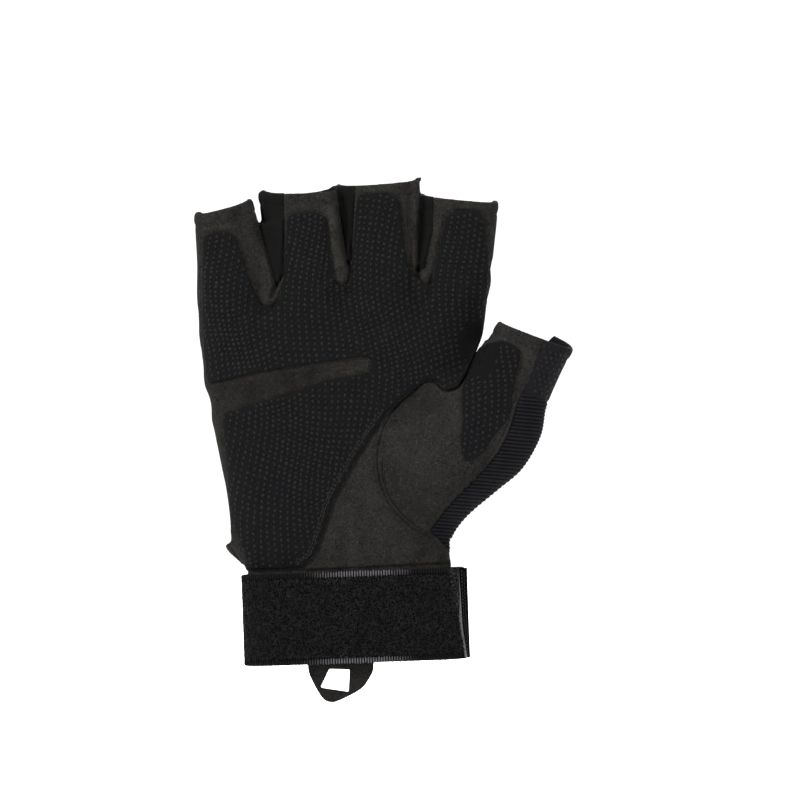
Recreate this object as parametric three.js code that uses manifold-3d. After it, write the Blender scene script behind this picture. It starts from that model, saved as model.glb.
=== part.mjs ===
// A right fingerless sports glove, open at the wrist, the thumb and four short fingers.
// The palm faces -Y, the fingers point up along +Z and the thumb leans towards +X.
// The origin is the middle of the wrist opening. All sizes are in millimetres.
import * as THREE from "three";
import { mergeVertices } from "three/addons/utils/BufferGeometryUtils.js";
import Module from "manifold-3d";

const wasm = await Module();
wasm.setup();

// Driving sizes.
const WALL = 1.6; // suede and knit walls
const SEAM = 0.3; // gap left between pieces that are sewn together
const GRIP = 1.1; // thickness of the dotted grip fabric
const GRIP_EDGE_Y = -3; // the grip fabric ends this far in front of the side seam
const SIDE_SEAM_Y = 0; // the seam between the palm and the back of the glove
const THUMB_SEAM_Y = -7; // the seam along the web side of the thumb
const OPEN_REACH = 8; // how far the form of the hollow runs past each open end
const BEYOND = 80; // far enough from the middle for a cutting prism to clear the glove
const ABOVE = 185; // above every finger end

// Sides round each tube and steps between its rows, outside and inside.
const OUTSIDE = {
  palm: { sides: 30, steps: 2 },
  thumb: { sides: 20, steps: 2 },
  finger: { sides: 16, steps: 2 },
};
const INSIDE = {
  palm: { sides: 24, steps: 1 },
  thumb: { sides: 16, steps: 1 },
  finger: { sides: 12, steps: 1 },
};

// The wrist strap is a stiff tape round the cuff, tilted a little in the photographed plane.
const STRAP = { height: 33, width: 81, depth: 37.4, thick: 2, corner: 11, tilt: 2.2, middleZ: 16.6 };
const PILE = { left: -39, rightTop: 36.4, rightBottom: 38.6, margin: 2.6, thick: 0.9 };
const END_WRAP = { gap: 0.4, thick: 0.5, foldWidth: 2.2, foldThick: 1.3 };
const CLOSING_TAB = { left: -16, right: 33, height: 29, thick: 1.8, corner: 9 };
const PULL_LOOP = { thick: 1.5, hangs: 20 };

// A table is a line of column names and a row of numbers for each section.
function table(names, rows) {
  const columns = names.split(" ");
  return rows.map((row) => Object.fromEntries(columns.map((name, i) => [name, row[i]])));
}

// Each row is a section of a tube: its two side edges seen from the palm, how far it reaches in front
// and behind, how square it is (2 is an ellipse), how far the palm side is shifted towards the thumb,
// and how far its edge dips below the line between its sides.
const SECTION = "leftX leftZ rightX rightZ front back square shift frontDip backDip";
const PALM = table(SECTION, [
  [-37.0, 0.5, 36.2, 2.2, -16.0, 16.2, 4.0, 0, 0, 0],
  [-38.2, 31.5, 34.9, 33.6, -16.0, 16.2, 4.0, 0, 0, 0],
  [-42.0, 36.6, 34.6, 37.6, -16.4, 16.3, 3.2, 0, 0, 0],
  [-45.6, 40.2, 34.2, 41.4, -17.2, 16.4, 2.8, 0, 0, 0],
  [-44.4, 44.0, 34.2, 45.0, -17.8, 16.4, 2.6, 0, 0, 0],
  [-46.1, 61.0, 36.0, 61.0, -19.4, 16.4, 2.5, 0, 0, 0],
  [-49.6, 79.0, 38.5, 79.0, -19.8, 16.0, 2.6, 0, 0, 0],
  [-53.6, 98.0, 41.5, 98.0, -18.6, 15.4, 2.8, 0, 0, 0],
  [-55.6, 112.0, 44.5, 113.0, -16.8, 14.6, 3.0, 0, 0, 0],
  [-55.4, 121.0, 45.6, 124.0, -14.0, 12.2, 3.2, 0, 0, 0],
  [-53.5, 126.0, 44.8, 131.0, -9.0, 7.6, 3.2, 0, 0, 0],
  [-50.0, 128.5, 42.0, 134.5, -3.0, 2.4, 3.0, 0, 0, 0],
]);
const FINGERS = {
  little: table(SECTION, [
    [-50.5, 108.0, -31.0, 108.0, -11.0, 9.4, 2.4, 0, 0, 0],
    [-55.9, 124.0, -29.0, 125.0, -13.8, 12.0, 2.4, 0, 0, 0],
    [-56.6, 143.0, -32.4, 145.5, -12.2, 10.6, 2.4, -1.0, 0, 0],
    [-57.5, 161.2, -36.8, 166.4, -11.4, 9.6, 2.4, -1.8, 2.4, 1.5],
  ]),
  ring: table(SECTION, [
    [-27.5, 110.0, -4.5, 111.0, -12.5, 10.8, 2.4, 0, 0, 0],
    [-29.8, 128.0, -2.2, 131.0, -14.6, 12.6, 2.4, 1, 0, 0],
    [-32.0, 148.0, -4.6, 151.0, -12.6, 10.8, 2.4, 2.8, 0, 0],
    [-34.6, 169.2, -7.4, 170.6, -11.6, 10.0, 2.4, 4, 3.4, 2],
  ]),
  middle: table(SECTION, [
    [-1.0, 112.0, 21.5, 113.0, -12.5, 10.8, 2.4, 0, 0, 0],
    [-3.0, 130.0, 22.8, 131.0, -14.6, 12.6, 2.4, 0.5, 0, 0],
    [-3.8, 150.0, 22.8, 150.0, -12.6, 10.8, 2.4, 1.5, 0, 0],
    [-6.1, 171.4, 23.2, 173.8, -11.8, 10.2, 2.4, 2.5, 2.2, 1.5],
  ]),
  index: table(SECTION, [
    [23.5, 110.0, 40.5, 111.0, -11.5, 10.0, 2.4, 0, 0, 0],
    [21.4, 128.0, 46.4, 129.0, -14.2, 12.4, 2.4, 0.3, 0, 0],
    [23.4, 148.0, 49.6, 148.0, -12.4, 10.6, 2.4, 1, 0, 0],
    [24.0, 168.0, 51.1, 165.2, -11.4, 9.8, 2.4, 1.5, 2.0, 1.2],
  ]),
};
const THUMB = table(SECTION, [
  [17.0, 57.0, 33.0, 45.6, -12.0, 8.0, 2.3, 0, 0, 0],
  [9.6, 66.0, 37.6, 49.4, -19.2, 10.6, 2.3, 0, 0, 0],
  [7.0, 75.6, 43.0, 54.6, -22.8, 11.6, 2.3, 0, 0, 0],
  [10.6, 84.6, 51.4, 61.6, -25.0, 11.6, 2.3, 0, 0, 0],
  [19.0, 92.6, 60.0, 69.2, -25.8, 10.0, 2.3, 0, 0, 0],
  [30.4, 98.0, 66.4, 80.6, -25.2, 7.6, 2.3, 0, 0, 0],
  [40.2, 104.4, 68.5, 91.2, -23.6, 5.0, 2.3, 0, 0, 0],
  [46.2, 112.4, 73.2, 101.8, -21.6, 3.0, 2.3, 0, 0, 0],
  [52.2, 121.6, 78.0, 112.0, -20.0, 2.4, 2.3, 0, 1.0, -3.0],
]);

// Outlines are lists of [x, z] seen from the palm.
// The thumb's suede front: a seam arc round the ball of the thumb, then up beside the ribbed panel.
const THUMB_SEAM = [
  [49, 130], [46.6, 118], [41.4, 105.5], [36.7, 98], [32.4, 96.8], [28.8, 99.6], [25.2, 100],
  [20.5, 96.5], [14.4, 91], [9.4, 80.6], [8.3, 70.2], [10.8, 59.8], [15.8, 52.6], [21.2, 47.9],
  [28.4, 44.4],
];
const THUMB_SIDE = [
  [27.7, 48.6], [33.1, 57.2], [39.6, 64], [45.7, 69.8], [51.8, 75.2], [56.3, 84], [58.3, 90.9],
  [60.1, 95.9], [62.6, 101.5], [64.4, 107.6], [68.4, 120.6], [71, 130],
];
const THUMB_BACK_SEAM = [
  [48.5, 130], [46.6, 119], [41.4, 105.5], [38.5, 86.4], [36, 64.8], [33.6, 46.4], [36, 38],
];
const PAST_THUMB = [[85, 130], [85, 38], [36, 38]]; // round the outside of the thumb
const RIB_TOP = [[16, 111.4], [96, 83.4]]; // the line where ribbed knit gives way to dotted knit

// The grip fabric: its field below the fingers, a rounded lobe up each finger, and the bare band
// across the palm.
const GRIP_FIELD = [
  [-54.4, 122], [-54.2, 112], [-52.8, 100.4], [-47.5, 92], [-47.4, 87.8], [-44.4, 49.3], [-39.2, 40.7],
  [-38.4, 34.6], [-17.6, 34.9], [-13.3, 40], [-7.2, 58.3], [-0.4, 70.7], [5.4, 79.9], [11.5, 88.9],
  [20.5, 96.5], [25.2, 100.4], [29.2, 100.4], [32.4, 96.8], [36.7, 98], [40, 102], [42.6, 107],
  [52, 112], [52, 134], [29, 134], [25, 134], [0, 134], [-4, 134], [-26, 127],
  [-33, 127],
];
const GRIP_LOBES = table("topZ leftTop rightTop leftBase rightBase baseZ arcHeight", [
  [153.6, -54.4, -41.6, -54.6, -31.5, 124, 3.2],
  [160.6, -24.4, -10.0, -26.6, -6.4, 124, 3.4],
  [167.2, 0.4, 15.8, -2.6, 21.0, 130, 3.4],
  [161.4, 32.0, 46.6, 26.0, 50.0, 131, 4.6],
]);
const BARE_BAND = [
  [-57, 96.5], [-50.4, 99.8], [-40.5, 101.8], [-29.4, 104.2], [3.2, 108.4], [5.4, 107.6], [5.2, 104.6],
  [3.4, 103.9], [-10.8, 101.2], [-21.2, 96.8], [-31.7, 93.8], [-46.8, 88.9], [-57, 88],
];
const THUMB_GRIP = [
  [48.5, 114.2], [53.2, 114.8], [58.4, 111.4], [58.6, 107], [56.9, 101.5], [55.7, 92], [53.8, 86],
  [48.9, 80.2], [45.7, 75.2], [40.7, 71.6], [38.2, 74.2], [37.4, 79.8], [39, 87.2], [39.6, 96.5],
  [42.5, 102.8], [45, 109],
];

// The side walls between two fingers: their edges at the finger ends and at the foot of the crotch.
const CROTCHES = table("topLeft topRight bottomLeft bottomRight bottomZ", [
  [-38.2, -25.9, -32.0, -26.8, 126.0],
  [-8.6, 0.7, -5.6, -0.6, 130.0],
  [21.8, 28.4, 20.4, 24.8, 130.5],
]);
const CROTCH_NAMES = ["side_wall_little_ring", "side_wall_ring_middle", "side_wall_middle_index"];

const PULL_LOOP_EDGE = [
  [-15.6, 8], [-16.7, -1.4], [-14.8, -7], [-11.4, -12.6], [-8.6, -14], [-5.4, -13.4], [2.2, -9.4],
  [5.6, -5], [6.9, -1.2], [6.4, 8],
];
const PULL_LOOP_HOLE = [[-8.9, -2.2], [-1.8, -2.4], [-2.2, -10.1], [-12, -8.6]];

// Solids.
function solidOf(geometry) {
  geometry.deleteAttribute("normal");
  geometry.deleteAttribute("uv");
  const merged = mergeVertices(geometry, 1e-4);
  const vertProperties = merged.attributes.position.array;
  const triVerts = new Uint32Array(merged.index.array);
  return new wasm.Manifold(new wasm.Mesh({ numProp: 3, vertProperties, triVerts }));
}

// A prism that runs through the glove along Y, from an outline seen from the palm.
function prism(outline, fromY = -BEYOND, toY = BEYOND, hole = null) {
  const shape = new THREE.Shape(outline.map(([x, z]) => new THREE.Vector2(x, z)));
  if (hole) shape.holes.push(new THREE.Path(hole.map(([x, z]) => new THREE.Vector2(x, z))));
  const geometry = new THREE.ExtrudeGeometry(shape, { depth: toY - fromY, bevelEnabled: false });
  geometry.rotateX(Math.PI / 2).translate(0, toY, 0);
  return solidOf(geometry);
}

function slab(fromY, toY) {
  const edge = 2 * BEYOND;
  return prism([[-edge, -edge], [edge, -edge], [edge, 2 * edge], [-edge, 2 * edge]], fromY, toY);
}

// An outline grown by a margin on every side, for the gap along a seam.
function grown(outline, margin) {
  const area = outline.reduce((sum, [x, z], i) => {
    const [nextX, nextZ] = outline[(i + 1) % outline.length];
    return sum + x * nextZ - nextX * z;
  }, 0);
  return outline.map(([x, z], i) => {
    const before = outline[(i + outline.length - 1) % outline.length];
    const after = outline[(i + 1) % outline.length];
    const into = new THREE.Vector2(x - before[0], z - before[1]).normalize();
    const out = new THREE.Vector2(after[0] - x, after[1] - z).normalize();
    const along = into.add(out).normalize().multiplyScalar(Math.sign(area) * margin);
    return [x + along.y, z - along.x];
  });
}

// A smooth open line through an outline's points.
function smooth(outline, pieces = 2) {
  const curve = new THREE.SplineCurve(outline.map(([x, z]) => new THREE.Vector2(x, z)));
  return curve.getPoints((outline.length - 1) * pieces).map((p) => [p.x, p.y]);
}

// Catmull-Rom values between b and c.
function between(a, b, c, d, t) {
  return b + 0.5 * t * (c - a + t * (2 * a - 5 * b + 4 * c - d + t * (3 * (b - c) + d - a)));
}

function fineRows(rows, pieces) {
  const at = (i) => rows[Math.min(Math.max(i, 0), rows.length - 1)];
  const fine = [];
  for (let i = 0; i < rows.length - 1; i++) {
    for (let j = 0; j < pieces; j++) {
      const row = {};
      for (const key of Object.keys(rows[0])) {
        row[key] = between(at(i - 1)[key], at(i)[key], at(i + 1)[key], at(i + 2)[key], j / pieces);
      }
      fine.push(row);
    }
  }
  fine.push(rows[rows.length - 1]);
  return fine;
}

function rounded(value, square) {
  return Math.sign(value) * Math.abs(value) ** (2 / square);
}

// The points round one section, grown by a margin and moved along the tube.
function ring(row, sides, margin, along) {
  const side = new THREE.Vector2(row.rightX - row.leftX, row.rightZ - row.leftZ);
  const halfWidth = side.length() / 2 + margin;
  const halfDepth = (row.back - row.front) / 2 + margin;
  side.normalize();
  const middleX = (row.leftX + row.rightX) / 2 - side.y * along;
  const middleZ = (row.leftZ + row.rightZ) / 2 + side.x * along;
  return Array.from({ length: sides }, (_, i) => {
    const angle = (2 * Math.PI * i) / sides;
    const deep = rounded(Math.sin(angle), row.square);
    const wide = rounded(Math.cos(angle), row.square) * halfWidth - row.shift * deep;
    const dip = (deep < 0 ? row.frontDip : row.backDip) * Math.abs(deep);
    const y = (row.front + row.back) / 2 + deep * halfDepth;
    return new THREE.Vector3(middleX + side.x * wide, y, middleZ + side.y * wide - dip);
  });
}

// A closed tube through its sections. A positive reach adds length at an end, and a negative one
// takes it away.
function tube(rows, { sides, steps, margin = 0, footReach = 0, topReach = 0 }) {
  const fine = fineRows(rows, steps);
  const rings = fine.map((row) => ring(row, sides, margin, 0));
  if (footReach > 0) rings.unshift(ring(fine[0], sides, margin, -footReach));
  if (topReach > 0) rings.push(ring(fine[fine.length - 1], sides, margin, topReach));
  if (topReach < 0) rings[rings.length - 1] = ring(fine[fine.length - 1], sides, margin, topReach);
  const points = rings.flat();
  const triangles = [];
  for (let r = 0; r < rings.length - 1; r++) {
    for (let i = 0; i < sides; i++) {
      const [a, b] = [r * sides + i, r * sides + ((i + 1) % sides)];
      triangles.push(a, b, b + sides, a, b + sides, a + sides);
    }
  }
  for (const [r, turn] of [[0, -1], [rings.length - 1, 1]]) {
    const centre = points.length;
    points.push(rings[r].reduce((sum, p) => sum.add(p), new THREE.Vector3()).divideScalar(sides));
    for (let i = 0; i < sides; i++) {
      const [a, b] = [r * sides + i, r * sides + ((i + 1) % sides)];
      triangles.push(centre, turn > 0 ? a : b, turn > 0 ? b : a);
    }
  }
  const geometry = new THREE.BufferGeometry().setFromPoints(points);
  geometry.setIndex(triangles);
  return solidOf(geometry);
}

// The glove's outer form, grown by a margin.
function outerForm(margin) {
  const reach = { margin, footReach: margin, topReach: margin };
  const palm = tube(PALM, { ...OUTSIDE.palm, ...reach });
  const thumb = tube(THUMB, { ...OUTSIDE.thumb, ...reach });
  const fingers = Object.values(FINGERS).map((rows) => tube(rows, { ...OUTSIDE.finger, ...reach }));
  return fingers.reduce((sum, finger) => sum.add(finger), palm.add(thumb));
}

// The hollow: the same form one wall thickness in, open at the wrist and at each finger end.
function innerForm() {
  const open = { margin: -WALL, topReach: OPEN_REACH };
  const palm = tube(PALM, { ...INSIDE.palm, margin: -WALL, footReach: OPEN_REACH, topReach: -WALL });
  const thumb = tube(THUMB, { ...INSIDE.thumb, ...open });
  const fingers = Object.values(FINGERS).map((rows) => tube(rows, { ...INSIDE.finger, ...open }));
  return fingers.reduce((sum, finger) => sum.add(finger), palm.add(thumb));
}

// The largest body of a cut piece, without the slivers that a cut can leave.
function whole(solid) {
  return solid.decompose().sort((a, b) => b.volume() - a.volume())[0];
}

function thumbOutline(margin) {
  return grown([...smooth(THUMB_SEAM), ...smooth(THUMB_SIDE)], margin);
}

function thumbFrontZone(margin) {
  return prism(thumbOutline(margin), -BEYOND, THUMB_SEAM_Y - SEAM / 2 + margin);
}

// The side and back of the thumb: outside the suede front, and everything behind the web seam.
function thumbSideZone(margin) {
  const inFront = grown([...smooth(THUMB_SIDE), ...PAST_THUMB], margin);
  const behind = grown([...THUMB_BACK_SEAM, ...PAST_THUMB.slice(0, 2).reverse()], margin);
  return prism(inFront, -BEYOND, 0).add(prism(behind, THUMB_SEAM_Y + SEAM / 2 - margin, BEYOND));
}

function ribZone(margin) {
  return prism(grown([...RIB_TOP, [96, 20], [16, 20]], margin));
}

function crotchZone(row, margin) {
  const foot = [[row.bottomLeft, row.bottomZ], [row.bottomRight, row.bottomZ]];
  return prism(grown([...foot, [row.topRight, ABOVE], [row.topLeft, ABOVE]], margin));
}

function allCrotches(margin) {
  return CROTCHES.map((row) => crotchZone(row, margin)).reduce((sum, zone) => sum.add(zone));
}

function gripLobe({ topZ, leftTop, rightTop, leftBase, rightBase, baseZ, arcHeight }) {
  const halfWidth = (rightTop - leftTop) / 2;
  const arc = new THREE.EllipseCurve(leftTop + halfWidth, topZ - arcHeight, halfWidth, arcHeight, 0, Math.PI);
  return prism([[leftBase, baseZ], [rightBase, baseZ], ...arc.getPoints(8).map((p) => [p.x, p.y])]);
}

// A layer of fabric lying on the outside of the glove's front.
function layerOnFront(zone) {
  const layer = outerForm(SEAM + GRIP).subtract(outerForm(SEAM)).intersect(slab(-BEYOND, GRIP_EDGE_Y));
  return whole(layer.intersect(zone));
}

function gripFabric() {
  let zone = prism(GRIP_FIELD);
  for (const row of GRIP_LOBES) zone = zone.add(gripLobe(row));
  return layerOnFront(zone.subtract(prism(BARE_BAND)).subtract(prism(thumbOutline(SEAM))));
}

// The strap's pieces are made upright round the middle of the strap, then tilted as one.
function roundedRectangle(width, depth, corner) {
  const shape = new THREE.Shape();
  const [x, y] = [width / 2 - corner, depth / 2 - corner];
  shape.absarc(x, y, corner, 0, Math.PI / 2);
  shape.absarc(-x, y, corner, Math.PI / 2, Math.PI);
  shape.absarc(-x, -y, corner, Math.PI, 1.5 * Math.PI);
  shape.absarc(x, -y, corner, 1.5 * Math.PI, 2 * Math.PI);
  return shape;
}

function upright(shape, height) {
  const geometry = new THREE.ExtrudeGeometry(shape, { depth: height, bevelEnabled: false, curveSegments: 6 });
  return solidOf(geometry.translate(0, 0, -height / 2));
}

function strapRing(outwards, height = STRAP.height) {
  const { width, depth, corner } = STRAP;
  return upright(roundedRectangle(width + 2 * outwards, depth + 2 * outwards, corner + outwards), height);
}

function strapBand() {
  return strapRing(0).subtract(strapRing(-STRAP.thick, STRAP.height + 2));
}

// The loop pile on the palm side, with a slanting end.
function pileField() {
  const half = STRAP.height / 2 - PILE.margin;
  const face = -STRAP.depth / 2 - SEAM;
  const outline = [[PILE.left, -half], [PILE.rightBottom, -half], [PILE.rightTop, half], [PILE.left, half]];
  return strapRing(SEAM + PILE.thick).subtract(strapRing(SEAM)).intersect(prism(outline, face - BEYOND, 0));
}

// A strip of the strap's front that starts at a slanting line and runs off its thumb end.
function thumbEnd(topX, bottomX) {
  const half = STRAP.height / 2;
  return prism([[bottomX, -half], [BEYOND, -half], [BEYOND, half], [topX, half]], -BEYOND, 0);
}

// A glossy film that wraps the thumb end of the strap, with a stitched fold along its edge.
function endWrap() {
  const { gap, thick, foldWidth, foldThick } = END_WRAP;
  const foldX = STRAP.width / 2 + SEAM + foldThick - foldWidth;
  const film = strapRing(SEAM + thick).intersect(thumbEnd(PILE.rightTop + gap, PILE.rightBottom + gap));
  const fold = strapRing(SEAM + foldThick).intersect(thumbEnd(foldX, foldX));
  return film.add(fold).subtract(strapRing(SEAM));
}

// The closing end of the strap, lying over the band at the back of the wrist.
function closingTab() {
  const { left, right, height, thick, corner } = CLOSING_TAB;
  const half = height / 2;
  const shape = new THREE.Shape([new THREE.Vector2(right, -half), new THREE.Vector2(right, half)]);
  shape.absarc(left + corner, half - corner, corner, Math.PI / 2, Math.PI);
  shape.absarc(left + corner, corner - half, corner, Math.PI, 1.5 * Math.PI);
  const outline = shape.getPoints(6).map((p) => [p.x, p.y]);
  return strapRing(SEAM + thick).subtract(strapRing(SEAM)).intersect(prism(outline, 0, BEYOND));
}

// A loop sewn inside the cuff's front, following its curve and hanging below it.
function pullLoop() {
  const { thick, hangs } = PULL_LOOP;
  const outside = tube(PALM, { ...INSIDE.palm, margin: -WALL - SEAM, footReach: hangs });
  const inside = tube(PALM, { ...INSIDE.palm, margin: -WALL - SEAM - thick, footReach: hangs + 1 });
  return outside.subtract(inside).intersect(prism(smooth(PULL_LOOP_EDGE), -BEYOND, 0, PULL_LOOP_HOLE));
}

// Materials.
function fabric(color, roughness) {
  return new THREE.MeshStandardMaterial({ color, roughness, metalness: 0, flatShading: true });
}
const suede = fabric(0x26241f, 0.95);
const gripKnit = fabric(0x16181d, 0.8);
const backKnit = fabric(0x17171a, 0.9);
const ribKnit = fabric(0x141418, 0.85);
const loopPile = fabric(0x0e0e0f, 1);
const tape = fabric(0x121214, 0.75);
const film = fabric(0x151516, 0.3);

function piece(name, solid, material) {
  const { vertProperties, triVerts } = solid.getMesh();
  const geometry = new THREE.BufferGeometry();
  geometry.setAttribute("position", new THREE.BufferAttribute(vertProperties, 3));
  geometry.setIndex(new THREE.BufferAttribute(triVerts, 1));
  const mesh = new THREE.Mesh(geometry, material);
  mesh.name = name;
  return mesh;
}

// The glove's shell is cut into its sewn panels along the seams.
const shell = outerForm(0).subtract(innerForm());
const body = shell.subtract(thumbSideZone(SEAM)).subtract(allCrotches(SEAM));
const thumbSide = shell.intersect(thumbSideZone(0));
const frontSide = slab(-BEYOND, SIDE_SEAM_Y - SEAM / 2);
const backSide = slab(SIDE_SEAM_Y + SEAM / 2, BEYOND);

const glove = new THREE.Group();
glove.add(
  piece("palm_panel", whole(body.intersect(frontSide).subtract(thumbFrontZone(SEAM))), suede),
  piece("back_panel", whole(body.intersect(backSide)), backKnit),
  piece("thumb_panel", whole(shell.intersect(thumbFrontZone(0)).subtract(thumbSideZone(SEAM))), suede),
  piece("thumb_rib_panel", whole(thumbSide.intersect(ribZone(0))), ribKnit),
  piece("thumb_top_panel", whole(thumbSide.subtract(ribZone(SEAM))), gripKnit),
  piece("grip_fabric", gripFabric(), gripKnit),
  piece("thumb_grip", layerOnFront(prism(smooth([...THUMB_GRIP, THUMB_GRIP[0]]).slice(1))), gripKnit),
  piece("pull_loop", pullLoop(), suede),
);
CROTCHES.forEach((row, i) => {
  glove.add(piece(CROTCH_NAMES[i], whole(shell.intersect(crotchZone(row, 0))), backKnit));
});

const strap = new THREE.Group();
strap.add(
  piece("wrist_strap", strapBand(), tape),
  piece("strap_pile", pileField(), loopPile),
  piece("strap_end_wrap", endWrap(), film),
  piece("strap_closing_tab", closingTab(), tape),
);
strap.position.z = STRAP.middleZ;
strap.rotation.y = THREE.MathUtils.degToRad(-STRAP.tilt);
glove.add(strap);

export default glove;
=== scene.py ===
"""The looks of a right fingerless sports glove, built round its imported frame.

Shapes are worked out in millimetres in the frame's own axes: the palm faces -Y, the fingers point
up along +Z and the thumb leans towards +X. make_piece() turns them into metres.
"""

import math

import bpy
import numpy as np
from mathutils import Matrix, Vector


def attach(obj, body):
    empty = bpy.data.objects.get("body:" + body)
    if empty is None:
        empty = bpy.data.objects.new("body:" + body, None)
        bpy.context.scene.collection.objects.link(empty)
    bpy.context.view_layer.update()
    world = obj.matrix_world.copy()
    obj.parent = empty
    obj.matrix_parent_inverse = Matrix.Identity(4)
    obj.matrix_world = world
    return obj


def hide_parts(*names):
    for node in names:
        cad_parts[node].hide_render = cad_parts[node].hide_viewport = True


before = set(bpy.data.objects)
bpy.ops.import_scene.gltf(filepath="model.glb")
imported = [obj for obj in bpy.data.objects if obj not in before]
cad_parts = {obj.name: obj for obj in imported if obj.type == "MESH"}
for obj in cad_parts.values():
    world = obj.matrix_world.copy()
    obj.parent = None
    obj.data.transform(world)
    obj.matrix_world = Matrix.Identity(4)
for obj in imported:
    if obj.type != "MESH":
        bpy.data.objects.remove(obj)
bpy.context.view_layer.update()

MM = 0.001
PI = math.pi

# The view: the photograph's scale, and the pixel that shows the frame's origin.
PIXEL = 0.36
PHOTO_SIDE = 790
ORIGIN_PIXEL = (355, 660)
LENS = 150
SENSOR = 36
FLOOR_Z = -50

# The lights: place and size in metres, and power in watts.
LIGHTS = {
    "key": ((-1, -0.8, 0.75), 0.5, 40),
    "fill": ((0.95, -0.9, 0.35), 0.8, 12),
    "over": ((0.1, 0.1, 1.5), 1.2, 40),
    "behind": ((0.4, 1.2, 0.6), 0.9, 16),
}
LIGHT_AIM = (0.01, 0, 0.09)
SKY = 1.15
FLOOR_HALF = 1.6

# Sizes that the sewn shell is built from.
WALL = 1.6
SEAM_GAP = 0.16
ALLOWANCE = 0.7
ALLOWANCE_DEPTH = 0.3
GRIP_FROM = 0.1
GRIP_TO = 1.1
GRIP_EDGE_Y = -3
SIDE_SEAM_Y = 0
THUMB_SEAM_Y = -7
THUMB_SEAM_FRONT_Y = -6
RIB_SEAM_FROM_X = 34
HEMS_FROM_Z = 60
HEM = 4.6
TOPSTITCH = 1.8
FAR = 30

# Sample spacing of the shell, of the ribbed knit and of the pull loop.
COARSE = 0.6
FINE = 0.27
LOOP_STEP = 0.4
SETTLE_TURNS = 8

# The share of their triangles that the largest pieces keep.
KEPT_SHARE = dict(palm_suede=0.5, back_cloth=0.34, thumb_ribs=0.45, grip_cloth=0.65, thumb_suede=0.8)

# The strap and what lies on it, the pull loop, the ribs of the thumb's side and the raised dots.
STRAP = dict(
    height=32.6, width=79.8, depth=37.4, thick=2, corner=11, edge=0.8, tilt=2, middle_z=16.7, sag=0.045,
)
PILE = dict(left=-38.5, right_top=33.6, right_bottom=38, margin=2.2, loops=7800)
SELVEDGE = dict(left=-37.5, right=34, pitch=0.94, long=2.5, wide=0.6, high=0.75)
BINDING = dict(left=-49, right=-39.5)
TAB = dict(left=-16, right=33, height=29, thick=1.8, corner=9, off=0.3)
LOOP = dict(thick=1.5, clear=0.3)
RIB = dict(pitch=1.3, height=0.34, slope=0.09)
DOT = dict(
    across=2.2, up=1.87, jitter=0.11, gap=1.3, height=0.38, weakest=0.12,
    inset=0.9, from_side=0.8, from_end=2,
)
# A knit's column width and row height.
WALE = 0.8
COURSE = 0.55

# Each row is a section of a tube: its side edges seen from the palm, its reach in front and behind,
# how square it is, its palm side's shift towards the thumb, and how far its edge dips at an open end.
SECTION = "left_x left_z right_x right_z front back square shift front_dip back_dip".split()
PALM = [
    (-37, 0.5, 36.2, 2.2, -16, 16.2, 4, 0, 0, 0),
    (-38, 20, 35.4, 21.8, -16, 16.2, 4, 0, 0, 0),
    (-38.3, 28, 35.1, 29.8, -16, 16.2, 4, 0, 0, 0),
    (-38.8, 31.2, 35, 33, -16, 16.2, 3.9, 0, 0, 0),
    (-40, 33.8, 34.8, 35.4, -16.1, 16.2, 3.6, 0, 0, 0),
    (-42.4, 36.3, 34.6, 37.6, -16.3, 16.3, 3.3, 0, 0, 0),
    (-44.6, 38.8, 34.4, 40, -16.7, 16.3, 3, 0, 0, 0),
    (-45.9, 41.4, 34.2, 42.4, -17.2, 16.4, 2.8, 0, 0, 0),
    (-44.4, 44.2, 34.2, 45.2, -17.8, 16.4, 2.6, 0, 0, 0),
    (-45.9, 61, 36, 61, -19.4, 16.4, 2.5, 0, 0, 0),
    (-49.4, 79, 38.5, 79, -19.8, 16, 2.6, 0, 0, 0),
    (-53.6, 98, 41.5, 98, -18.6, 15.4, 2.8, 0, 0, 0),
    (-55.3, 112, 44.1, 113, -16.8, 14.6, 3, 0, 0, 0),
    (-55.2, 121, 45.1, 124, -14, 12.2, 3.2, 0, 0, 0),
    (-53.5, 126, 44.8, 131, -12.6, 11, 3.2, 0, 0, 0),
    (-52.5, 130, 43.8, 135, -12, 10.6, 3, 0, 0, 0),
]
LITTLE = [
    (-50.5, 108, -31, 108, -11, 9.4, 2.4, 0, 0, 0),
    (-55.6, 124, -29, 125, -13.8, 12, 2.4, 0, 0, 0),
    (-56.6, 143, -32.4, 145.5, -12.2, 10.6, 2.4, -1, 0, 0),
    (-57.5, 161.2, -37.3, 166.3, -11.4, 9.6, 2.4, -1.8, 2.4, 1.5),
]
RING = [
    (-27.5, 110, -4.5, 111, -12.5, 10.8, 2.4, 0, 0, 0),
    (-29.8, 128, -2.2, 131, -14.6, 12.6, 2.4, 1, 0, 0),
    (-32, 148, -3.6, 151, -12.6, 10.8, 2.4, 2.8, 0, 0),
    (-34.2, 169.2, -6.4, 170.8, -11.6, 10, 2.4, 4, 3.4, 2),
]
MIDDLE = [
    (-1, 112, 21.5, 113, -12.5, 10.8, 2.4, 0, 0, 0),
    (-3, 130, 22.8, 131, -14.6, 12.6, 2.4, 0.5, 0, 0),
    (-4.4, 150, 23.8, 150, -12.6, 10.8, 2.4, 1.5, 0, 0),
    (-6.9, 171.2, 24, 173.8, -11.8, 10.2, 2.4, 2.5, 2.2, 1.5),
]
INDEX = [
    (23.5, 110, 40.5, 111, -11.5, 10, 2.4, 0, 0, 0),
    (21.4, 128, 46.4, 129, -14.2, 12.4, 2.4, 0.3, 0, 0),
    (22.6, 148, 49.8, 148, -12.4, 10.6, 2.4, 1, 0, 0),
    (23.2, 168, 51.4, 165.4, -11.4, 9.8, 2.4, 1.5, 2, 1.2),
]
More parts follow.
